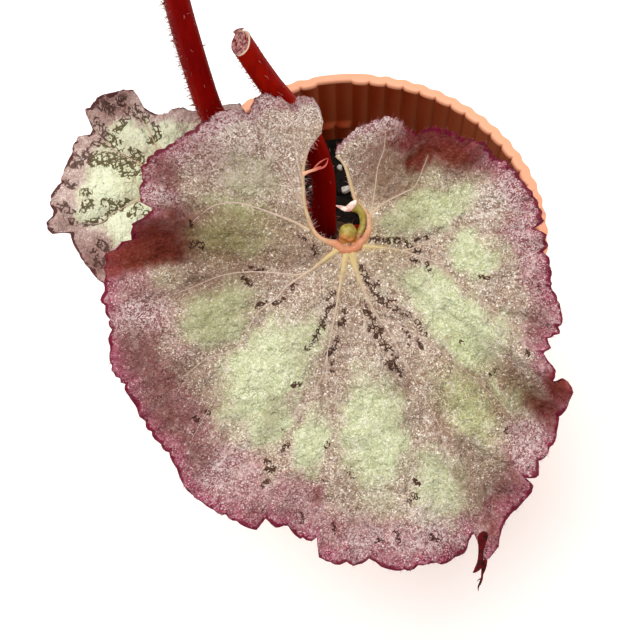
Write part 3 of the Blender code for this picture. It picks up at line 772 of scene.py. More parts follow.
LEFT_LEAF = Leaf(
    junction=(-44.7, 5.6, 15), normal=(-0.2, -0.35, 0.915), tip=(-0.93, -0.225, -0.289),
    rim=(
        (-245, 24.5), (-238, 25.3), (-230, 22.8), (-216, 18.2), (-208, 18.4), (-200, 18.4), (-190, 17.2),
        (-184, 17.4), (-178, 18.8), (-175, 20.6), (-174.5, 23.6), (-173.6, 25.7), (-168, 26.9),
        (-162, 27.8), (-157, 28.7), (-152, 29.8), (-147, 30.8), (-145, 30), (-141, 27.4), (-138, 27.8),
        (-134, 29.8), (-131, 30), (-125, 29.5), (-118, 30.5), (-110, 31), (-104, 33.4), (-100, 33.4),
        (-96, 32.9), (-94.2, 33.2), (-92.5, 35.3), (-90, 35.9), (-88, 35.3), (-86.8, 32.5), (-85.6, 31.4),
        (-82, 32), (-73, 32.2), (-67, 32.4), (-61, 32.6), (-48, 31.6), (-30, 30.4), (-10, 28), (10, 25.5),
        (30, 23.5), (48, 21), (62, 17.5),
    ),
    lean=(),
    sinus=(
        (-245, 23), (-238, 20.5), (-230, 16.5), (-220, 11), (-200, 3), (-186, 0.5), (-170, 0), (0, 0),
        (30, 5), (48, 10), (62, 15.5),
    ),
    swell=(
        (-245, -0.5), (-225, -0.6), (-205, 0.4), (-186, 1.2), (-172, 1.8), (-158, 1.8), (-146, 0.8),
        (-135, -0.6), (-118, 0.5), (-104, 0.9), (-92, 0.6), (-84, -2.0), (-74, -3.4), (-62, -3.4),
        (-40, -1.5), (0, -0.5), (62, 0),
    ),
    curl=(
        (-245, 0.4), (-220, -0.8), (-200, 0.8), (-182, -0.6), (-172, 2.2), (-160, 3.2), (-149, 2.6),
        (-140, 0.4), (-125, -0.5), (-105, 0.5), (-92, 2.2), (-88, 1.6), (-80, -0.6), (-60, -1.0), (0, 0.5),
        (62, 0),
    ),
    band=(
        (-245, 4), (-215, 5), (-190, 6), (-176, 7), (-165, 12), (-150, 12), (-138, 8), (-120, 8), (-100, 9),
        (-86, 9), (-78, 12), (-60, 12), (-30, 7), (62, 5),
    ),
    islands=(
        (-5, -17, 7, 5, 1.0), (-11, -18, 4, 3, 0.6), (3, -16, 5, 4, 1.0), (8, -15, 6, 4, 0.9),
        (-15, -7.5, 5, 3.6, 1.0), (-12, 0, 4, 4, 0.9), (0, -24, 4, 4, 0.7), (4, -6, 8, 7, 0.9),
        (-6, -8, 5, 4, 0.6),
    ),
    bare=((12, -27, 6, 5, 0.5), (9, -30, 4, 4, 0.5), (-25, -9, 6, 5, 0.35)),
    dusk=(
        (-25, -10, 5, 8, 0.8), (-28, -16, 4, 5, 0.7), (10, -28, 7, 6, 0.8), (-13, -9, 6, 3, 0.35),
        (0, -31, 3, 8, 0.4),
    ),
    olive=((-4, -8, 8, 6, 0.4),),
    shine=((14, 12, 6, 6, 0.5),),
    marks=(
        (1.9, ((-15, -24), (-13.2, -18.5), (-10.7, -13.6), (-8, -10.2), (-6, -8.5))),
        (1.5, ((-19.7, -14.6), (-16.7, -14.2), (-14.2, -11.6))), (1.0, ((-17.4, -11), (-19.6, -7.2))),
        (1.4, ((-11, -8.6), (-8.6, -7.4))), (1.3, ((-7, -12.2), (-5.6, -11))),
        (1.2, ((-14.7, -0.7), (-12.6, -0.8), (-12, -2.6))), (1.2, ((-4, -30.3), (-1.7, -26), (-2, -23))),
        (1.2, ((-0.9, -19), (0.8, -16.4), (1, -14.2))), (1.2, ((3.8, -13.7), (2.8, -11.4))),
        (0.7, ((1.3, -17.9), (2.1, -21.6), (1.8, -25.7), (-0.2, -29.9))),
        (1.0, ((7.3, -24.7), (9.4, -23.1), (12.8, -25.5), (11, -27.8), (9, -27))),
        (1.3, ((-27, -13), (-24.7, -11.6), (-23, -10.2))),
        (1.3, ((-25.5, -6.5), (-22.7, -6.6), (-21.4, -4.8), (-18.2, -2.4))),
        (1.0, ((-10, -27.6), (-8.6, -26))), (1.0, ((-5.8, -24.1), (-5, -22.6))),
        (1.0, ((-16, -20), (-17.4, -17))), (0.8, ((-22.5, -15), (-21, -17.5))),
        (0.9, ((5.4, -10), (6.6, -7))), (0.9, ((-3, -5), (2, -3.4))),
    ),
    veins=(
        (0.3, 0.08, ((0.4, -1.5), (1.0, -10), (1.6, -18), (2.6, -23), (0.2, -29))),
        (0.26, 0.07, ((-1.2, -1), (-8, -8), (-15, -14), (-22, -17))),
        (0.24, 0.07, ((-1.6, 0), (-9, -2), (-16, -3), (-24, -6))),
        (0.26, 0.07, ((1.2, -1), (8, -10), (14, -18), (18, -24))),
        (0.24, 0.07, ((1.6, 0), (12, -4), (22, -9))),
        (0.22, 0.07, ((-2, 1), (-8, 7), (-11, 14))),
        (0.22, 0.07, ((3, 1), (12, 6), (20, 10))),
    ),
    droop=0.002, ruffle=0.5, waves=13, frill=0.2, scallop=0.3, scallops=60, seed=2,
)
TALL_LEAF = Leaf(
    junction=(-45.5, 28.2, 95.6), normal=(-0.25, 0.4, 0.882), tip=(-0.5, 0.72, -0.48),
    rim=(
        (-252, 16), (-244, 21), (-230, 25), (-222, 25.5), (-214, 27.5), (-200, 28.5), (-192, 26.5),
        (-184, 27.5), (-170, 30), (-162, 30), (-155, 32), (-140, 32), (-132, 32.5), (-124, 35), (-114, 36),
        (-108, 38.5), (-96, 43), (-88, 45), (-80, 41), (-72, 38.5), (-66, 38), (-50, 37), (-42, 34.5),
        (-34, 34), (-18, 32), (-8, 28.5), (2, 29), (14, 28), (24, 25.5), (34, 25), (50, 22.5), (66, 19),
        (76, 14.5),
    ),
    lean=(),
    sinus=(
        (-252, 12), (-240, 9), (-222, 5.5), (-200, 2.5), (-186, 0.5), (-170, 0), (0, 0), (24, 3), (46, 6),
        (64, 9), (76, 11.5),
    ),
    swell=(
        (-252, -1), (-220, -1.5), (-190, 1), (-160, -1.6), (-140, 0.8), (-110, 0.5), (-88, -0.6),
        (-60, 0.8), (-40, -1.8), (-20, 0.8), (10, -0.6), (40, 0.6), (76, -1),
    ),
    curl=(
        (-252, 0.5), (-230, -1.2), (-205, 1.4), (-180, -0.8), (-155, 1.6), (-130, -0.9), (-105, 1.1),
        (-85, -1.0), (-60, 1.5), (-35, -1.1), (-10, 1.3), (20, -0.9), (50, 1.1), (76, -0.4),
    ),
    band=((-252, 4), (-200, 7), (-150, 9), (-100, 10), (-60, 9), (0, 7), (76, 4)),
    islands=(
        (0, -24, 9, 5, 1.0), (-13, -16, 8, 5, 1.0), (13, -16, 8, 5, 1.0), (-17, 0, 7, 5, 0.9),
        (17, 0, 7, 5, 0.9), (-12, 12, 6, 4, 0.7), (12, 11, 6, 4, 0.7),
    ),
    bare=((-22, -18, 6, 3, 0.5), (24, -12, 6, 3, 0.5), (-24, 8, 5, 3, 0.5)),
    dusk=((-22, -6, 8, 5, 0.6), (20, 14, 8, 5, 0.5), (8, -34, 6, 4, 0.5)),
    olive=((-10, -8, 8, 5, 0.6), (14, 4, 7, 5, 0.6)),
    shine=((-12, 12, 8, 6, 0.5), (20, -26, 6, 8, 0.5)),
    marks=(
        (0.7, ((-2.5, -8), (-3, -13), (-2.4, -18))), (0.7, ((2.2, -9), (3, -14))),
        (0.6, ((-7, -11), (-10, -15))), (0.6, ((8, -5.5), (13, -6.5))), (0.6, ((-7, -0.5), (-13, -2.5))),
        (0.5, ((11, -13), (14, -19))), (0.5, ((7, 1.5), (12, 1.5))),
    ),
    veins=(
        (0.6, 0.07, ((0, -1.5), (-1, -14), (0, -27), (-1, -41))),
        (0.42, 0.07, ((-1.2, -1.2), (-9, -10), (-15, -19), (-19, -29))),
        (0.36, 0.07, ((-1.6, -0.4), (-11, -4), (-20, -7), (-28, -12))),
        (0.3, 0.07, ((-2.2, 0.8), (-11, 5), (-18, 11), (-22, 13))),
        (0.42, 0.07, ((1.2, -1.2), (10, -10), (17, -19), (23, -29))),
        (0.36, 0.07, ((1.6, -0.4), (12, -3), (21, -5), (31, -10))),
        (0.3, 0.07, ((2.2, 0.8), (10, 6), (16, 12), (20, 15))),
    ),
    droop=0.003, ruffle=0.8, waves=13, frill=0.4, scallop=0.5, scallops=62, seed=3,
)


def smooth_table(table, value):
    """Eased values between the stations of a table, so that a fold has round shoulders."""
    table = np.asarray(table, float)
    index = np.clip(np.searchsorted(table[:, 0], value) - 1, 0, len(table) - 2)
    low, high = table[index, 0], table[index + 1, 0]
    t = smoothstep(value, low, high)
    return table[index, 1] * (1 - t) + table[index + 1, 1] * t


def line_gap(route, u, v):
    """Distance from points of the plane to a route of straight pieces."""
    nearest = np.full(np.shape(u), 99.0)
    for (au, av), (bu, bv) in zip(route[:-1], route[1:]):
        du, dv = bu - au, bv - av
        t = np.clip(((u - au) * du + (v - av) * dv) / (du * du + dv * dv + 1e-9), 0, 1)
        nearest = np.minimum(nearest, np.hypot(u - au - t * du, v - av - t * dv))
    return nearest


class Blade:
    """A leaf blade as a height over its own flat plane."""

    def __init__(self, leaf):
        self.leaf = leaf
        normal = unit(leaf.normal)
        back = -np.array(leaf.tip, float)
        back = unit(back - normal * back.dot(normal))
        self.axes = np.array((np.cross(back, normal), back, normal))
        self.origin = np.array(leaf.junction, float) + (0, 0, RIM_Z)
        self.rim, self.sinus = np.array(leaf.rim, float), np.array(leaf.sinus, float)
        self.lines = [smooth_route(route, 14 * len(route)) for _, _, route in leaf.veins]
        self.first, self.last = self.rim[0, 0], self.rim[-1, 0]

    def noise(self, x, y, cell, offset):
        return value_noise(x, y, cell, self.leaf.seed + offset)

    def start(self, bearing):
        return np.interp(bearing, self.sinus[:, 0], self.sinus[:, 1])

    def plain_reach(self, bearing):
        return np.interp(bearing, self.rim[:, 0], self.rim[:, 1])

    def reach(self, bearing):
        """The margin: its big shape, and small rounded scallops with sharp notches."""
        leaf, flat = self.leaf, 0 * bearing
        drift = 5.0 * self.noise(bearing, flat, 6.0, 20)
        phase = leaf.scallops * np.radians(bearing + drift) / 2
        depth = leaf.scallop * (1 + 0.7 * self.noise(bearing, flat, 9.0, 21))
        notch = depth * (1 - np.abs(np.sin(phase)) ** 0.6)
        return self.plain_reach(bearing) + 0.3 * leaf.scallop - notch

    def lean(self, bearing, radius):
        """Bearings once the teeth that overhang a notch are pushed sideways."""
        turned = bearing + 0 * radius
        for middle, width, near, far, degrees in self.leaf.lean:
            push = degrees * smoothstep(radius, near, far)
            turned = turned + push * np.exp(-((bearing - middle) / width) ** 2)
        return turned

    def polar(self, u, v):
        """Bearing, distance from the junction, and share of the way from the sinus to the margin."""
        bearing = np.degrees(np.arctan2(v, u))
        bearing = np.where(bearing > (self.first + 360 + self.last) / 2, bearing - 360, bearing)
        radius = np.hypot(u, v)
        start, reach = self.start(bearing), self.plain_reach(bearing)
        return bearing, radius, np.clip((radius - start) / np.maximum(reach - start, 0.3), 0, 1.05)

    def vein_gap(self, u, v):
        """Distance to the nearest vein, in millimetres."""
        return np.min([line_gap(line[::4], u, v) for line in self.lines], axis=0)

    def ovals(self, ovals, u, v, wander, seed):
        """Soft mask of ovals that point at the junction; wander millimetres lobe their outlines."""
        mask = np.zeros(np.shape(u))
        shift_u, shift_v = (wander * self.noise(u, v, 5.0, seed + axis)
                            + 0.6 * wander * self.noise(u, v, 2.2, seed + 5 + axis) for axis in (0, 1))
        for middle_u, middle_v, length, width, strength in ovals:
            out = unit((middle_u, middle_v))
            du, dv = u + shift_u - middle_u, v + shift_v - middle_v
            along, across = (du * out[0] + dv * out[1]) / length, (dv * out[0] - du * out[1]) / width
            mask = np.maximum(mask, strength * np.exp(-(along ** 2 + across ** 2) ** 1.6))
        return mask

    def strokes(self, u, v, spread):
        """1 on the dark strokes, and less beside them; spread millimetres widen them."""
        return np.max([np.exp(-(line_gap(route, u, v) / (1.25 * width + spread)) ** 2)
                       for width, route in self.leaf.marks], axis=0)

    def height(self, u, v):
        """Droop, folds, curl, ruffles and frill, with the skin quilted between sunk veins."""
        leaf = self.leaf
        bearing, radius, share = self.polar(u, v)
        flat = 0 * bearing
        height = -leaf.droop * radius ** 2
        height = height + smooth_table(leaf.swell, bearing) * share ** 1.5
        height = height + smooth_table(leaf.curl, bearing) * share ** 5
        sway = 9 * self.noise(bearing, flat, 11.0, 30)
        height = height + leaf.ruffle * share ** 4 * np.sin(np.radians(leaf.waves * (bearing + sway)))
        fast = 3.2 * leaf.waves * (bearing + 4 * self.noise(bearing, flat, 4.0, 31))
        height = height + leaf.frill * share ** 12 * np.sin(np.radians(fast))
        near = smoothstep(radius, 2.0, 12.0)
        gap = self.vein_gap(u, v)
        pad = 1.3 * (1 - np.exp(-(gap / 3.2) ** 2)) - 1.0
        lumps = 0.75 * self.noise(u, v, 6.0, 40) + 0.50 * self.noise(u, v, 2.8, 41)
        lumps = lumps + 0.20 * self.noise(u, v, 1.4, 42)
        return height + near * (pad + lumps * smoothstep(gap, 0.2, 2.5))

    def world(self, u, v, lift=0.0):
        """Points of the blade, lift millimetres over its middle surface along the leaf's normal."""
        u, v = np.asarray(u, float), np.asarray(v, float)
        return self.origin + np.stack((u, v, self.height(u, v) + lift), -1) @ self.axes

    def flat_world(self, spots):
        """Points from (across, along, up) in the leaf's own flat frame."""
        return self.origin + np.asarray(spots, float) @ self.axes

    def strap(self, parts, stations, count, thickness, face, sides=10, lift=0.0, **values):
        """A band through (across, along, up, half width) stations; face is in the world's axes."""
        route = smooth_route(stations, count)
        route[:, 2] += lift
        stations = np.column_stack((self.flat_world(route[:, :3]), route[:, 3]))
        parts.strap(stations, thickness, face, sides, **values)


def build_blade(name, blade, finishes, slot, node, columns, rows, thickness):
    """The thick sheet: upper face, lower face and the edges between them."""
    leaf = blade.leaf
    bearing = np.union1d(np.linspace(blade.first, blade.last, columns), blade.rim[:, 0])[:, None]
    columns = len(bearing)
    share = np.linspace(0, 1, rows)[None, :] ** 0.9
    start, reach = blade.start(bearing), blade.reach(bearing)
    radius = start + (reach - start) * share
    turned = np.radians(blade.lean(bearing, radius))
    u, v = radius * np.cos(turned), radius * np.sin(turned)
    half = thickness / 2 * (1 - 0.6 * smoothstep(share, 0.75, 1.0)) + 0 * radius
    points = np.vstack([blade.world(u, v, lift).reshape(-1, 3) for lift in (half, -half)])
    count = columns * rows
    faces = grid_faces(columns, rows, flip=True) + grid_faces(columns, rows, first=count)
    top_faces = len(faces) // 2
    # the edge runs along the margin, down one side of the sinus, round the petiole and up the other
    ring = np.concatenate((np.arange(columns) * rows + rows - 1,
                           (columns - 1) * rows + np.arange(rows - 2, -1, -1),
                           np.arange(columns - 2, -1, -1) * rows, np.arange(1, rows - 1)))
    after = np.roll(ring, -1)
    faces += np.stack((ring, after, after + count, ring + count), -1).tolist()
    which = np.zeros(len(faces), int)
    which[top_faces:2 * top_faces] = 1
    rim, gap = reach - radius, blade.vein_gap(u, v)
    band = smooth_table(leaf.band, bearing)
    wide = band * (1 + 0.3 * blade.noise(u, v, 7.0, 60))
    # pale flesh lines the veins, most of it near the junction, and the edge of the sinus
    near = np.exp(-radius / 5.0)
    vein_flesh = np.exp(-(gap / (0.35 + 2.1 * near)) ** 2) * np.exp(-radius / 34.0)
    sinus_flesh = np.exp(-((radius - start) / 2.1) ** 2) * np.exp(-radius / 13.0)
    values = {
        "rim_mm": rim,
        "vein_mm": gap,
        "ridge": np.maximum(vein_flesh, sinus_flesh),
        "pad": np.exp(-(radius / 9.0) ** 2),
        "mauve": np.maximum(1 - smoothstep(rim, 0.35 * wide, 1.15 * wide), 0.3 * blade.strokes(u, v, 1.6)),
        "blush": smoothstep(band + 0 * u, 3.5, 10.0),  # how pink the margin may be
        "marks": blade.strokes(u, v, 0.0),
        # a plane for streaks: wide steps round the junction, and short ones away from it
        "around": np.radians(bearing) * 35.0 * MM + 0 * u,
        "outward": radius * 0.28 * MM,
    }
    for key, spots, wander, seed in (("green", leaf.islands, 2.0, 50), ("bare", leaf.bare, 1.0, 70),
                                     ("dusk", leaf.dusk, 1.2, 80), ("olive", leaf.olive, 1.5, 90),
                                     ("shine", leaf.shine, 1.5, 95)):
        values[key] = blade.ovals(spots, u, v, wander, seed)
    values = {key: np.tile(column.ravel(), 2) for key, column in values.items()}
    make_piece(name, points, faces, finishes, slot, [node], 180, values, which)


def build_veins(name, blade, finish, slot, lift, sink, scale, least, sides):
    """Veins as tapering ribs, whose middle lies lift and sink radii over the blade's middle."""
    ribs = Parts()
    for (base, end, _), line in zip(blade.leaf.veins, blade.lines):
        line = line[blade.polar(line[:, 0], line[:, 1])[2] < 0.95]
        far = np.hypot(line[:, 0], line[:, 1])
        radii = end + (base - end) * np.exp(-(far - far[0]) / 7.5)
        fade = 1 - 0.5 * smoothstep(np.linspace(0, 1, len(line)), 0.8, 1.0)
        radii = np.maximum(radii * scale, least) * fade
        spine = blade.world(line[:, 0], line[:, 1], lift + sink * radii)
        ribs.tube(spine, radii, sides=sides, along=far)
    ribs.piece(name, finish, slot)


def build_cilia(name, blade, slot, count):
    """Short hairs that stand off the margin."""
    rng = np.random.default_rng(80)
    fuzz = Parts()
    for bearing in rng.uniform(blade.first, blade.last, count):
        reach = float(blade.reach(np.array([bearing]))[0]) - 0.15
        turned = math.radians(blade.lean(bearing, reach))
        out = np.array((math.cos(turned), math.sin(turned)))
        root = blade.world(out[:1] * reach, out[1:] * reach)[0]
        lean = np.array((out[0], out[1], rng.uniform(-0.4, 0.7))) + rng.normal(0, 0.35, 3)
        fuzz.hair(root, unit(lean) @ blade.axes, rng.uniform(0.5, 1.3), 0.045, rng.normal(0, 0.2, 3))
    fuzz.piece(name, RED_HAIR, slot)


# ---------------------------------------------------------------- leaf finishes

# A pair is the dull skin between the glittering grains, and the grains. silver to crimson go from the
# middle of the blade to its margin, with green on the islands and bare for red skin without glitter,
# which is painted shade of slopes turned from the light. mark is for the dark strokes and pepper, and scar
# for strokes in the mauve zone. dusk is what deeper-coloured skin and the painted shade of folds
# are multiplied with, spark the painted glints of the brightest grains, and shine the
# painted highlight on the whitest skin and the glints of the mauve zone.
Palette = namedtuple("Palette", "silver mauve green bare pink crimson mark scar dusk spark shine")
REX = Palette(
    silver=((0.262, 0.163, 0.117), (0.665, 0.540, 0.430)),
    mauve=((0.232, 0.082, 0.085), (0.60, 0.375, 0.365)),
    green=((0.400, 0.425, 0.225), (0.72, 0.745, 0.50)),
    bare=((0.130, 0.010, 0.005), (0.24, 0.050, 0.028)),
    pink=((0.190, 0.014, 0.045), (0.47, 0.140, 0.205)),
    crimson=(0.150, 0.004, 0.024),
    mark=(0.075, 0.036, 0.022),
    scar=(0.070, 0.022, 0.020),
    dusk=(0.37, 0.265, 0.22),
    spark=(0.97, 0.90, 0.81),
    shine=(0.74, 0.615, 0.60),
)
MINT = Palette(
    silver=((0.500, 0.455, 0.305), (0.855, 0.825, 0.620)),
    mauve=((0.390, 0.240, 0.210), (0.720, 0.555, 0.500)),
    green=((0.680, 0.735, 0.480), (0.915, 0.940, 0.720)),
    bare=((0.208, 0.104, 0.088), (0.390, 0.240, 0.215)),
    pink=((0.312, 0.150, 0.143), (0.507, 0.312, 0.293)),
    crimson=(0.081, 0.017, 0.017),
    mark=(0.135, 0.112, 0.050),
    scar=(0.130, 0.075, 0.060),
    dusk=(0.60, 0.47, 0.46),
    spark=(0.900, 0.900, 0.780),
    shine=(0.80, 0.74, 0.68),
)


def leaf_face_finish(name, palette, glitter, mesh, pink_width, line_width):
    """Upper face: glittering grains over a duller skin, both of them coloured zone by zone, with painted
    shade and painted glints.

    glitter is how hard the grains stand out, mesh the size of the net whose threads the marks follow,
    pink_width and line_width how far the pink and the dark line reach in from the margin.
    """
    finish = Finish(name, Roughness=0.42, IOR=1.2, Specular_IOR_Level=0.4)
    value, noise, cells, span = finish.value, finish.noise, finish.cells, finish.span
    times, plus, mix = finish.times, finish.plus, finish.mix
    rim, broad = value("rim_mm"), noise(5, 3, 0.6)
    sway = span(noise(1.5, 3, 0.6, seed=2.0), 0.25, 0.75, -0.2, 0.2, smooth=False)
    zones = (("mauve", 0.2, 0.8), ("green", 0.05, 0.85), ("bare", 0.05, 0.95))
    mauve, green, bare = (span(plus(value(zone), sway), low, high) for zone, low, high in zones)
    pink = plus(rim, span(broad, 0.3, 0.7, -0.45 * pink_width, 0.35 * pink_width, smooth=False))
    pink = times(span(pink, 0.0, pink_width, 0.95, 0.0, smooth=False), value("blush"),
                 span("bare", 0.1, 0.8, 1.0, 0.2), span("shine", 0.1, 0.8, 1.0, 0.45))
    # red skin without glitter is painted shade of slopes turned from the light
    skin, silver = (mix(bare, mix(green, mix(mauve, palette.silver[level], palette.mauve[level]),
                                  palette.green[level]), palette.bare[level]) for level in (0, 1))

    # most grains are dull and a few of them are bright; the bright ones are partly painted glitter, where
    # cells would catch the light
    lucky = finish.node("SeparateColor", "Red", Color=cells(0.28, output="Color"))
    contrast = span(noise(2.5, 2, 0.6, seed=10.0), 0.35, 0.65, 0.9 * glitter, 2.6 * glitter)
    calm = times(span("dusk", 0.2, 0.9, 1.0, 0.6), span(bare, 0.0, 0.8, 1.0, 0.25))
    contrast = times(plus(contrast, times(value("shine"), 0.35)), span(green, 0.0, 0.8, 1.35, 0.92), calm)
    grain = plus(times(finish.math("SUBTRACT", finish.math("POWER", lucky, 2.6), 0.28), contrast), 0.46)
    for feature, reach, seed in ((0.6, 0.20, 4.0), (1.6, 0.22, 5.0), (6.0, 0.14, 6.0)):
        grain = plus(grain, span(noise(feature, 3, 0.65, seed=seed), 0.3, 0.7, -reach, reach, smooth=False))
    worn = span("vein_mm", 0.2, 1.2, 0.10, 0.0)
    grain = span(finish.math("SUBTRACT", grain, worn), 0.0, 1.0, smooth=False)
    colour = mix(grain, skin, silver)
    # painted sheen: grains whiten where a highlight would lie
    colour = mix(times(value("shine"), span(grain, 0.1, 0.8, 0.0, 0.95)), colour, palette.shine)
    colour = mix(value("olive"), colour, (0.90, 0.92, 0.70), "MULTIPLY")
    ridge = mix(span("pad", 0.02, 0.4), (0.50, 0.38, 0.27), (0.56, 0.40, 0.18))
    ridge = mix(span("pad", 0.75, 0.97), ridge, (0.50, 0.24, 0.10))
    colour = mix(times(value("ridge"), 0.9), colour, ridge)

    # the dark strokes are broken up into a net of threads and blots
    net = span(cells(mesh, "DISTANCE_TO_EDGE", warp=1.3 * mesh), 0.08, 0.17, 1.0, 0.0)
    blots = span(noise(0.32 * mesh, 2, 0.6, seed=1.0), 0.52, 0.60)
    gaps = span(noise(1.2 * mesh, 2, seed=3.0), 0.52, 0.62, 0, 0.7)
    worms = finish.math("SUBTRACT", finish.math("MAXIMUM", net, blots), gaps)
    mark = times(value("marks"), worms)
    colour = mix(span(mark, 0.31, 0.45), colour, mix(mauve, palette.mark, palette.scar))
    colour = mix(span(noise(1.1, 3, 0.7, seed=7.0), 0.645, 0.72, 0.0, 0.6), colour, palette.mark)
    # deeper colour, and painted shade of folds that turn from the light
    colour = mix(value("dusk"), colour, palette.dusk, "MULTIPLY")
    colour = mix(pink, colour, mix(grain, palette.pink[0], palette.pink[1]))

    # painted glints: single sparks, then brushed streaks that run outwards and a net of fine creases, all
    # painted as bright colour where they would catch the light
    glint_colour = mix(mauve, palette.spark, palette.shine)
    spark = finish.node("SeparateColor", "Green", Color=cells(0.34, output="Color"))
    spark = times(span(spark, 0.82, 0.94), span(grain, 0.25, 0.7), span(bare, 0.0, 0.5, 1.0, 0.08),
                  span(green, 0.2, 0.9, 1.0, 0.45), span(mark, 0.15, 0.4, 1.0, 0.0),
                  span("dusk", 0.0, 0.8, 1.0, 0.45))
    colour = mix(spark, colour, glint_colour)
    spoke = finish.node("CombineXYZ", X=value("around"), Y=value("outward"))
    streaks = times(span(noise(0.9, 3, 0.7, seed=14.0, place=spoke), 0.54, 0.68), 0.8)
    creases = span(cells(5.5, "DISTANCE_TO_EDGE", warp=4.5), 0.0, 0.045, 0.6, 0.0)
    glints = finish.math("MAXIMUM", span(noise(0.9, 3, 0.75, seed=11.0), 0.57, 0.66), streaks, creases)
    patch = plus(span(noise(4.0, 2, seed=12.0), 0.40, 0.6, 0.12, 0.50), times(value("shine"), 0.45))
    glints = times(glints, patch, span("dusk", 0.0, 0.6, 1.0, 0.22), span(bare, 0.0, 0.6, 1.0, 0.05),
                   span(mark, 0.15, 0.4, 1.0, 0.2))
    colour = mix(glints, colour, glint_colour)

    # a dark line with a frayed inner side follows the margin
    edge = plus(rim, span(noise(1.6, 3, 0.6, seed=6.0), 0.3, 0.7, -0.7, 0.5, smooth=False),
                span(broad, 0.35, 0.6, 0.4, -0.6), span("blush", 0.0, 1.0, 0.8, 0.0))
    colour = mix(span(edge, 0.1, line_width, 0.92, 0.0), colour, palette.crimson)
    quilt = finish.bump(noise(3.0, 3, 0.6, seed=8.0), 2.6, 0.9, finish.bump(grain, 0.10, 0.8))
    return finish.done(colour, finish.bump(noise(1.1, 3, 0.65, seed=9.0), 0.9, 0.9, quilt),
                       span(grain, 0.2, 0.9, 0.48, 0.27))


def leaf_back_finish(name, deep, pale):
    """Lower face: wine red with a paler bloom."""
    finish = Finish(name, Roughness=0.5, Specular_IOR_Level=0.35)
    colour = finish.mottle(deep, pale, (7, 4, 0.6), 0.3, 0.7)
    colour = finish.mottle(colour, (0.30, 0.10, 0.10), (0.8, 3, 0.6), 0.4, 0.75, 0.35)
    colour = finish.mix(finish.span("rim_mm", 0.0, 2.5, 0.8, 0.0), colour, (0.13, 0.012, 0.03))
    return finish.done(colour, finish.bump(finish.noise(0.9, 3, 0.6), 0.2, 0.7))


def vein_finish(name, base, middle, end, stops):
    """Veins: fleshy near the junction, duller and thinner further out."""
    finish = Finish(name, Roughness=0.5, Specular_IOR_Level=0.3)
    along = finish.plus(finish.value("along"), finish.span(finish.noise(2.5, 2), 0.3, 0.7, -2, 2))
    colour = finish.mix(finish.span(along, stops[0], stops[1]), base, middle)
    colour = finish.mix(finish.span(along, stops[1], stops[2]), colour, end)
    colour = finish.mottle(colour, (0.30, 0.17, 0.11), (0.9, 3, 0.6), 0.4, 0.7, 0.4)
    return finish.done(colour, finish.bump(finish.noise(0.6, 2), 0.1, 0.6))


def hair_finish(name, dark, light):
    finish = Finish(name, Roughness=0.45, Specular_IOR_Level=0.4)
    return finish.done(finish.mottle(dark, light, (2.0, 2), 0.35, 0.65))


MAIN, LEFT, TALL = Blade(MAIN_LEAF), Blade(LEFT_LEAF), Blade(TALL_LEAF)
SILVER_FACE = leaf_face_finish("silver_face", REX, 0.55, 1.45, 5.0, 0.8)
MINT_FACE = leaf_face_finish("mint_face", MINT, 0.26, 1.75, 1.6, 0.6)
YOUNG_FACE = leaf_face_finish("young_face", REX, 0.55, 1.45, 4.0, 0.8)
WINE_BACK = leaf_back_finish("wine_back", (0.16, 0.022, 0.028), (0.27, 0.07, 0.06))
UPPER_VEIN = vein_finish("upper_vein", (0.58, 0.44, 0.20), (0.54, 0.41, 0.29), (0.56, 0.44, 0.38),
                         (4, 11, 22))
LOWER_VEIN = vein_finish("lower_vein", (0.46, 0.20, 0.12), (0.36, 0.10, 0.08), (0.28, 0.06, 0.06),
                         (8, 20, 44))
PINK_HAIR = hair_finish("pink_hair", (0.50, 0.20, 0.19), (0.72, 0.48, 0.44))
RED_HAIR = hair_finish("red_hair", (0.24, 0.035, 0.035), (0.52, 0.21, 0.19))

build_blade("main_blade", MAIN, [SILVER_FACE, WINE_BACK], "silver_leaf", "main_leaf", 440, 84, 0.6)
build_blade("left_blade", LEFT, [MINT_FACE, WINE_BACK], "mint_leaf", "left_leaf", 280, 64, 0.5)
build_blade("tall_blade", TALL, [YOUNG_FACE, WINE_BACK], "young_leaf", "tall_leaf", 280, 60, 0.5)
for label, blade, slot, hairs in (("main", MAIN, "silver_leaf", 360), ("left", LEFT, "mint_leaf", 90),
                                  ("tall", TALL, "young_leaf", 160)):
    build_veins(label + "_veins", blade, UPPER_VEIN, slot, 0.30, -0.62, 1.15, 0.0, 8)
    build_veins(label + "_ribs", blade, LOWER_VEIN, slot, -0.3, -0.75, 1.5, 0.3, 10)
    build_cilia(label + "_cilia", blade, slot, hairs)


# ---------------------------------------------------------------- the sinus, and torn bits of the main leaf

def flesh_finish(name, first, second, feature, **sockets):
    """Waxy plant flesh that drifts between two colours."""
    finish = Finish(name, **{"Roughness": 0.4, "Specular_IOR_Level": 0.4, **sockets})
    return finish.done(finish.mottle(first, second, (feature, 3, 0.6), 0.3, 0.7),
                       finish.bump(finish.noise(0.7, 3, 0.6), 0.15, 0.7))


def rim_finish():
    """The thick edge of the sinus: orange flesh by the junction, then cream, then pinkish."""
    finish = Finish("sinus_edge", Roughness=0.42, Specular_IOR_Level=0.4)
    along = finish.plus(finish.value("along"), finish.span(finish.noise(3.0, 2), 0.3, 0.7, -1.5, 1.5))
    colour = (0.53, 0.185, 0.080)
    for start, end, further in ((2.0, 7.0, (0.60, 0.345, 0.180)), (7.0, 15.0, (0.52, 0.38, 0.21)),
                                (19.0, 26.0, (0.52, 0.36, 0.28))):
        colour = finish.mix(finish.span(along, start, end), colour, further)
    return finish.done(finish.mottle(colour, (0.62, 0.47, 0.33), (0.5, 3, 0.7), 0.5, 0.7, 0.5),
                       finish.bump(finish.noise(0.6, 3, 0.65), 0.35, 0.8))


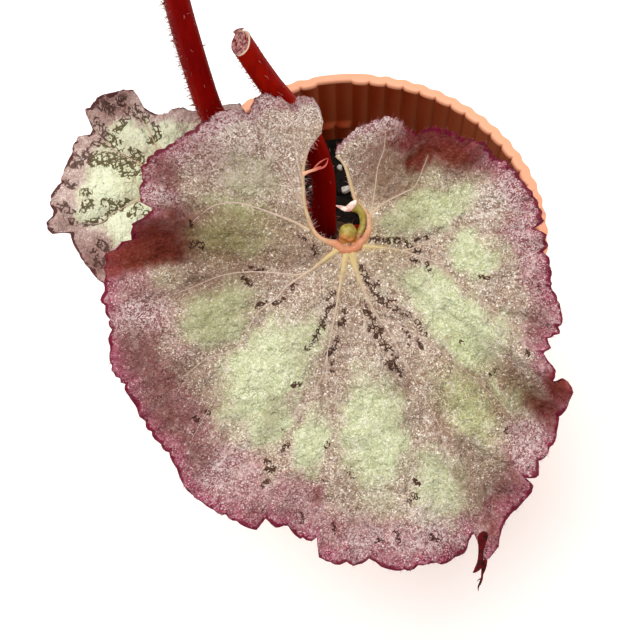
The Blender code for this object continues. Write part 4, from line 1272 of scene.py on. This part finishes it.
def shoulder_finish():
    """Translucent yellow-green flesh that ripens to orange-red where it meets the blade."""
    finish = Finish("shoulder_flesh", Roughness=0.35, Specular_IOR_Level=0.4)
    streaks = finish.span(finish.noise(1.2, 3, 0.6), 0.3, 0.7)
    green = finish.mix(streaks, (0.19, 0.120, 0.006), (0.34, 0.28, 0.045))
    red = finish.mix(streaks, (0.40, 0.085, 0.018), (0.58, 0.25, 0.075))
    ripe = finish.plus(finish.value("ripe"), finish.span(streaks, 0.0, 1.0, -0.22, 0.22))
    return finish.done(finish.mix(finish.span(ripe, 0.1, 1.0), green, red),
                       finish.bump(finish.noise(0.8, 3, 0.6), 0.15, 0.7))


def shred_finish():
    """Papery skin, peach where it leaves the edge and red where it thins out."""
    finish = Finish("shred_skin", Roughness=0.5, Specular_IOR_Level=0.35)
    return finish.done(finish.mix(finish.span("ripe", 0.2, 0.9), (0.70, 0.36, 0.22), (0.45, 0.075, 0.055)))


def build_sinus_edge():
    """The fleshy edge of the sinus and its hairs."""
    bearing = np.concatenate((np.linspace(-255.6, -166.5, 90), np.linspace(1.5, 99.0, 90)))
    start = MAIN.start(bearing)
    u, v = start * np.cos(np.radians(bearing)), start * np.sin(np.radians(bearing))
    count = 200
    bridge = smooth_route([(u[0], v[0]), *zip(u[9:90:9], v[9:90:9]), (-1.8, -1.5), (0, -1.7), (1.6, -1.0),
                           *zip(u[93::9], v[93::9]), (u[-1], v[-1])], count)
    far = np.hypot(bridge[:, 0], bridge[:, 1])
    radii = 0.33 + 0.74 * np.exp(-(far / 6.5) ** 2) + 0.10 * np.exp(-((far - 14) / 5) ** 2)
    radii *= 1 + 0.16 * value_noise(np.arange(count) * 0.5, np.zeros(count), 5.0, 91)
    radii *= 1 - 0.55 * smoothstep(far, 20.5, 26.0)
    edge, fuzz = Parts(), Parts()
    edge.tube(MAIN.world(bridge[:, 0], bridge[:, 1], 0.05), radii, sides=14, along=far)
    edge.piece("sinus_edges", rim_finish(), "silver_leaf")

    rng = np.random.default_rng(92)
    for _ in range(360):
        i = rng.integers(4, count - 6)
        root = MAIN.world(bridge[i:i + 1, 0], bridge[i:i + 1, 1], 0.25)[0]
        inward = unit((-0.5 - bridge[i, 0], 13 - bridge[i, 1], 4.0) + rng.normal(0, 9.0, 3)) @ MAIN.axes
        fuzz.hair(root, inward, rng.uniform(0.7, 1.9), rng.uniform(0.04, 0.06), rng.normal(0, 0.2, 3))
    fuzz.piece("sinus_hair", PINK_HAIR, "silver_leaf")


def build_shoulder():
    """The green knob on top of the petiole, and the collar that ties it to the sinus."""
    shoulder = Parts()
    rings, sides = 26, 48
    turn = np.linspace(0, 2 * math.pi, sides, endpoint=False)[None, :]
    lift = np.linspace(-math.pi / 2 + 0.05, math.pi / 2 - 0.05, rings)[:, None]
    furrow = 1 - 0.05 * np.abs(np.sin(2.5 * turn + 0.4)) ** 3
    knob = np.stack((np.cos(lift) * np.cos(turn) * furrow, np.cos(lift) * np.sin(turn) * furrow,
                     np.sin(lift) + 0 * turn), -1).reshape(-1, 3)
    knob = knob * (2.25, 2.35, 1.6) + (-0.25, 2.35, -0.9)
    knob[:, 0] += 0.25 * value_noise(knob[:, 1], knob[:, 2], 1.2, 93)
    shoulder.add(MAIN.flat_world(knob), barrel_faces(rings, sides), ripe=smoothstep(knob[:, 1], 3.6, -0.4))
    collar = ((-0.9, 8.3, -0.6, 0.5), (0.4, 8.6, -0.45, 1.15), (1.7, 8.3, -0.5, 1.2),
              (2.8, 7.0, -0.6, 0.95), (3.15, 4.9, -0.7, 0.85), (2.6, 2.9, -0.8, 0.9), (1.7, 1.4, -0.9, 0.7))
    along = np.linspace(0, 1, 44)
    MAIN.strap(shoulder, collar, 44, 0.55, MAIN.axes[2] - 0.6 * MAIN.axes[0], 16,
               ripe=0.25 * smoothstep(along, 0.3, 0.0) + 0.8 * smoothstep(along, 0.8, 1.0))
    shoulder.piece("petiole_shoulder", shoulder_finish(), "red_stalk")


def build_shreds():
    """The forked papery shred and the pale bract in the sinus."""
    shreds, pale = Parts(), Parts()
    up = MAIN.axes[2]
    stem = ((-11.3, 16.3, 0.1, 0.62), (-10.2, 16.8, 0.4, 0.40), (-8.9, 17.2, 0.7, 0.36),
            (-7.8, 17.6, 0.8, 0.42), (-6.8, 18.1, 0.8, 0.15))
    MAIN.strap(shreds, stem, 30, 0.12, up, ripe=np.linspace(0, 1, 30))
    for branch in (((-8.6, 17.7, 0.75, 0.16), (-7.4, 18.9, 0.9, 0.2), (-6.2, 19.7, 0.8, 0.13),
                    (-5.3, 20.1, 0.5, 0.06)),
                   ((-7.6, 17.4, 0.8, 0.13), (-6.2, 18.0, 0.8, 0.24), (-5.5, 18.9, 0.6, 0.16),
                    (-5.2, 20.0, 0.4, 0.06))):
        MAIN.strap(shreds, branch, 24, 0.08, up, ripe=1.0)
    shreds.piece("papery_shred", shred_finish(), "silver_leaf")
    bract = ((-3.3, 8.9, -0.9, 0.12), (-2.2, 8.5, -0.4, 0.45), (-1.2, 8.1, -0.1, 0.60),
             (-0.2, 8.3, 0.1, 0.85), (0.8, 9.3, 0.15, 0.75), (1.5, 10.2, 0.05, 0.2))
    MAIN.strap(pale, bract, 36, 0.14, up)
    pale.piece("pale_bract", flesh_finish("bract_skin", (0.52, 0.20, 0.17), (0.88, 0.74, 0.64), 1.3),
               "silver_leaf")


def build_torn_tip():
    """The flap, the dry tail and its spur, which hang from the tear beside the tip."""
    wine = flesh_finish("torn_skin", (0.022, 0.005, 0.005), (0.135, 0.006, 0.009), 1.3,
                        Roughness=0.5, IOR=1.15, Specular_IOR_Level=0.25)
    torn = Parts()
    lift = float(MAIN.height(np.array([31.5]), np.array([-71.5]))[0])
    up = MAIN.axes[2]
    flap = ((31.7, -69.5, 1.1, 0.7), (32.0, -70.2, 1.2, 1.45), (32.0, -71.2, 1.1, 1.35),
            (31.8, -73.0, 0.7, 0.95), (31.6, -75.0, 0.1, 0.7), (31.6, -76.4, -0.6, 0.9),
            (31.5, -77.4, -1.2, 0.95), (31.1, -78.6, -1.8, 0.9), (30.5, -79.4, -2.2, 0.5),
            (29.9, -79.8, -2.3, 0.1))
    tail = ((32.6, -76.6, -1.5, 0.8), (32.5, -78.0, -1.8, 0.75), (32.4, -79.2, -2.1, 0.5),
            (32.2, -80.2, -2.4, 0.3), (32.1, -81.3, -2.6, 0.28), (31.7, -82.5, -2.8, 0.3),
            (31.3, -83.4, -2.9, 0.2), (31.3, -84.4, -3.0, 0.06))
    spur = ((32.1, -81.3, -2.65, 0.2), (31.5, -81.5, -2.65, 0.14), (30.9, -82.0, -2.6, 0.05))
    for route, count, thickness, face in ((flap, 50, 0.16, up + 0.5 * MAIN.axes[0]), (tail, 40, 0.13, up),
                                          (spur, 12, 0.08, up)):
        MAIN.strap(torn, route, count, thickness, face, lift=lift)
    torn.piece("torn_tip", wine, "silver_leaf")


build_sinus_edge()
build_shoulder()
build_shreds()
build_torn_tip()


# ---------------------------------------------------------------- rhizome and petioles

# (x, y, z) from the centre of the rim and the radius there, as in the model
MAIN_PETIOLE = ((1, 5.5, -18.5, 3.4), (1, 3.4, -9, 3.3), (0.5, -4.5, 3, 2.9), (-0.1, -12.2, 14.5, 2.8))
LEFT_PETIOLE = ((-17, 9.5, -18.5, 2.7), (-20, 8.4, -8, 2.6), (-26.5, 8, 1.5, 2.3), (-35, 7.6, 5.6, 2.1))
TALL_PETIOLE = ((-13.5, 13, -18.5, 3.6), (-16, 14.6, -8, 3.5), (-23.4, 14.8, 8, 3.3), (-30.2, 15, 20, 3.2),
                (-35.1, 15.8, 31, 3.2), (-39.0, 17.6, 60, 3.1), (-41.7, 21, 81, 2.8))
CUT_PETIOLE = ((-7.6, 8.6, -18.5, 3.3), (-7.5, 8.2, -6, 3.15), (-7.8, 11.6, 10.5, 3.05),
               (-12.3, 14.6, 25.5, 3.0), (-20.4, 17.4, 39.5, 2.9), (-26.4, 19.6, 52.2, 2.8))
CUT_SLOPE = (0.28, 0.45)
STALK_SIDES = 36
PAINTED_LIGHT_RED = (0.36, 0.0055, 0.0030)
DARK_RED, BRIGHT_RED = (0.15, 0.0008, 0.0006), (0.215, 0.0018, 0.0008)


def stalk_finish(name, dark, light, top):
    """Red flesh with streaks and pale dots, painted lighter low down; a stalk's last piece takes the colour
    top.
    """
    finish = Finish(name, Roughness=0.5, IOR=1.12, Specular_IOR_Level=0.2)
    streaks = finish.noise(3.0, 3, 0.6, stretch=(1.6, 1.6, 0.25))
    colour = finish.mix(finish.span(streaks, 0.3, 0.72), dark, light)
    dots = finish.span(finish.cells(1.5), 0.0, 0.2, 1.0, 0.0)
    colour = finish.mix(finish.times(dots, 0.12), colour, (0.36, 0.03, 0.015))
    # painted light: the lower part of the stalk, in the pot's shade, is painted brighter red
    colour = finish.mix(finish.span("along", 0.30, 0.55, 0.75, 0.0), colour, PAINTED_LIGHT_RED)
    colour = finish.mix(finish.span("along", 0.90, 0.985), colour, top)
    return finish.done(colour, finish.bump(finish.noise(1.1, 3, stretch=(1.6, 1.6, 0.4)), 0.18, 0.7),
                       finish.span(finish.noise(1.5, 3), 0.3, 0.7, 0.36, 0.52))


RED_FLESH = stalk_finish("red_flesh", DARK_RED, BRIGHT_RED, DARK_RED)
CUT_FLESH = stalk_finish("cut_flesh", (0.180, 0.0020, 0.0006), (0.275, 0.0050, 0.0008),
                         (0.25, 0.0042, 0.0008))
GREEN_TOPPED = stalk_finish("green_topped_flesh", DARK_RED, BRIGHT_RED, (0.36, 0.14, 0.03))


def stalk_route(stations, leaf):
    """The stations, and the last ones under a leaf, which run straight and square to its blade."""
    rows = list(stations)
    if leaf is not None:
        normal, junction = unit(leaf.normal), np.array(leaf.junction, float)
        rows += [(*(junction - normal * below), rows[-1][3]) for below in (5.65, 3.15, 0.45)]
    return plant_route(rows, 110)


def stalk_wobble(seed):
    """Soft ridges down the stalk and a little unevenness along it."""
    def wobble(turn, share):
        ridges = 0.020 * np.sin(5 * turn + 2 * share + seed) + 0.012 * np.sin(11 * turn + 5 * share)
        lumps = 0.03 * value_noise(turn * 3, share * 60 + seed * 7, 4.0, 60)
        return 1 + ridges + lumps
    return wobble


def build_stalk(name, node, stations, leaf, finish, seed, hairs):
    """A fleshy stalk, hairiest along its left flank; without a leaf it ends at the knife's cut."""
    route = stalk_route(stations, leaf)
    share = np.linspace(0, 1, len(route))
    parts, fuzz = Parts(), Parts()
    parts.tube(route[:, :3], route[:, 3], sides=STALK_SIDES, wobble=stalk_wobble(seed), along=share)
    if leaf is None:
        build_cut_end(parts, route)
    parts.piece(name, finish, "red_stalk", 50, [node])
    rng = np.random.default_rng(seed + 70)
    ahead, across, other = carry_frame(route[:, :3])
    for _ in range(hairs):
        i = rng.integers(8, len(route) - 6)
        flank = math.atan2(-other[i][0], -across[i][0])
        turn = flank + rng.choice((rng.normal(0.15, 0.40), rng.uniform(-math.pi, math.pi)), p=(0.86, 0.14))
        out = across[i] * math.cos(turn) + other[i] * math.sin(turn)
        root = route[i, :3] + out * route[i, 3] * 0.97
        lean = unit(out + ahead[i] * rng.uniform(-0.6, 0.8) + rng.normal(0, 0.25, 3))
        fuzz.hair(root, lean, rng.uniform(0.6, 1.9), rng.uniform(0.06, 0.10), rng.normal(0, 0.35, 3))
    fuzz.piece(name + "_hair", RED_HAIR, "red_stalk")


def pith_finish():
    """The cut face: mottled pink pith in a cream ring, with dark skin round it."""
    finish = Finish("pith", Roughness=0.5, Specular_IOR_Level=0.4)
    colour = finish.mottle((0.19, 0.022, 0.032), (0.62, 0.33, 0.30), (0.8, 3, 0.7), 0.42, 0.6)
    brim = finish.times(finish.span("level", 0.84, 0.93), finish.value("cream"))
    colour = finish.mix(brim, colour, (0.80, 0.60, 0.42))
    colour = finish.mix(finish.span("level", 0.985, 0.999), colour, (0.14, 0.02, 0.015))
    return finish.done(colour, finish.bump(finish.noise(0.35, 3), 0.1))


def build_cut_end(parts, route):
    """Tilts the last rings to the knife's plane, and adds the pithy face and a curl of skin."""
    ahead, across, other = (axis[-1] for axis in carry_frame(route[:, :3]))
    turn = circle(STALK_SIDES)
    shift = route[-1, 3] * (CUT_SLOPE[0] * np.cos(turn) + CUT_SLOPE[1] * np.sin(turn))
    rings = parts.points[0].reshape(len(route), STALK_SIDES, 3)
    for back, share in ((1, 1.0), (2, 0.8), (3, 0.55), (4, 0.3), (5, 0.1)):
        rings[-back] += ahead * (shift * share)[:, None]
    border = rings[-1]
    middle = border.mean(axis=0)
    plane = unit(ahead - CUT_SLOPE[0] * across - CUT_SLOPE[1] * other)
    parts_a_side = 4
    along = np.roll(border, -1, axis=0) - border
    fine = np.stack([border + along * part / parts_a_side for part in range(parts_a_side)], 1).reshape(-1, 3)
    sides = len(fine)
    pith, skin = Parts(), Parts()
    levels = np.linspace(0.0, 1.0, 26)
    grid = middle + (fine[None] - middle) * np.maximum(levels, 0.02)[:, None, None]
    local_x, local_y = (grid - middle) @ across, (grid - middle) @ other
    pits = 0.20 * value_noise(local_x, local_y, 0.55, 95) + 0.12 * value_noise(local_x, local_y, 0.3, 96)
    brim = 0.30 * np.exp(-((levels[:, None] - 0.95) / 0.05) ** 2)
    lift = 0.12 + pits * smoothstep(1 - levels[:, None], 0.02, 0.2) + brim - 0.5 * (levels[:, None] > 0.999)
    grid = grid + plane * lift[..., None]
    faces = grid_faces(len(levels), sides, closed=True) + [tuple(reversed(range(sides)))]
    cream = np.tile(smoothstep(unit(fine - middle)[:, 0], -0.55, 0.15), len(levels))
    pith.add(grid.reshape(-1, 3), faces, level=np.repeat(levels, sides), cream=cream)
    pith.piece("cut_face", pith_finish(), "red_stalk")

    top = middle + unit(other - plane * plane.dot(other)) * route[-1, 3] * 1.02
    curl = smooth_route([(*(top - (0.9, 0, 0.2)), 0.55), (*(top + (-0.2, 0.2, 0.5)), 0.5),
                         (*(top + (0.7, 0.4, 0.9)), 0.36), (*(top + (1.5, 0.5, 1.3)), 0.08)], 20)
    skin.strap(curl, 0.16, (0, -0.6, 0.8))
    dry = flesh_finish("dry_skin", (0.17, 0.03, 0.035), (0.45, 0.20, 0.18), 1.2)
    skin.piece("cut_skin", dry, "red_stalk")


def build_rhizome():
    """The creeping stem, ringed by old scars."""
    finish = Finish("rhizome_bark", Roughness=0.7, Specular_IOR_Level=0.3)
    rings = finish.span(finish.noise(2.2, 4, 0.65, stretch=(2.0, 0.7, 0.7)), 0.35, 0.7)
    bark = finish.done(finish.mix(rings, (0.030, 0.013, 0.007), (0.11, 0.045, 0.022)),
                       finish.bump(finish.noise(0.9, 4, 0.65), 0.4))
    route = plant_route(RHIZOME, 70)
    route[:, 3] += 0.35 * np.sin(np.arange(70) * 0.62) * np.sin(np.linspace(0, math.pi, 70))
    parts = Parts()
    parts.tube(route[:, :3], route[:, 3] + 0.15, sides=40,
               wobble=lambda turn, share: 1 + 0.06 * value_noise(turn * 4, share * 60, 3.0, 61)
               + 0.03 * np.sin(share * 95))
    parts.piece("rhizome_stem", bark, "rhizome", 50, ["rhizome"])


build_rhizome()
for label, stations, leaf, finish, seed, hairs in (("main", MAIN_PETIOLE, MAIN_LEAF, GREEN_TOPPED, 1, 150),
                                                   ("left", LEFT_PETIOLE, LEFT_LEAF, RED_FLESH, 2, 160),
                                                   ("tall", TALL_PETIOLE, TALL_LEAF, RED_FLESH, 3, 1500),
                                                   ("cut", CUT_PETIOLE, None, CUT_FLESH, 4, 340)):
    build_stalk(label + "_stalk", label + "_petiole", stations, leaf, finish, seed, hairs)
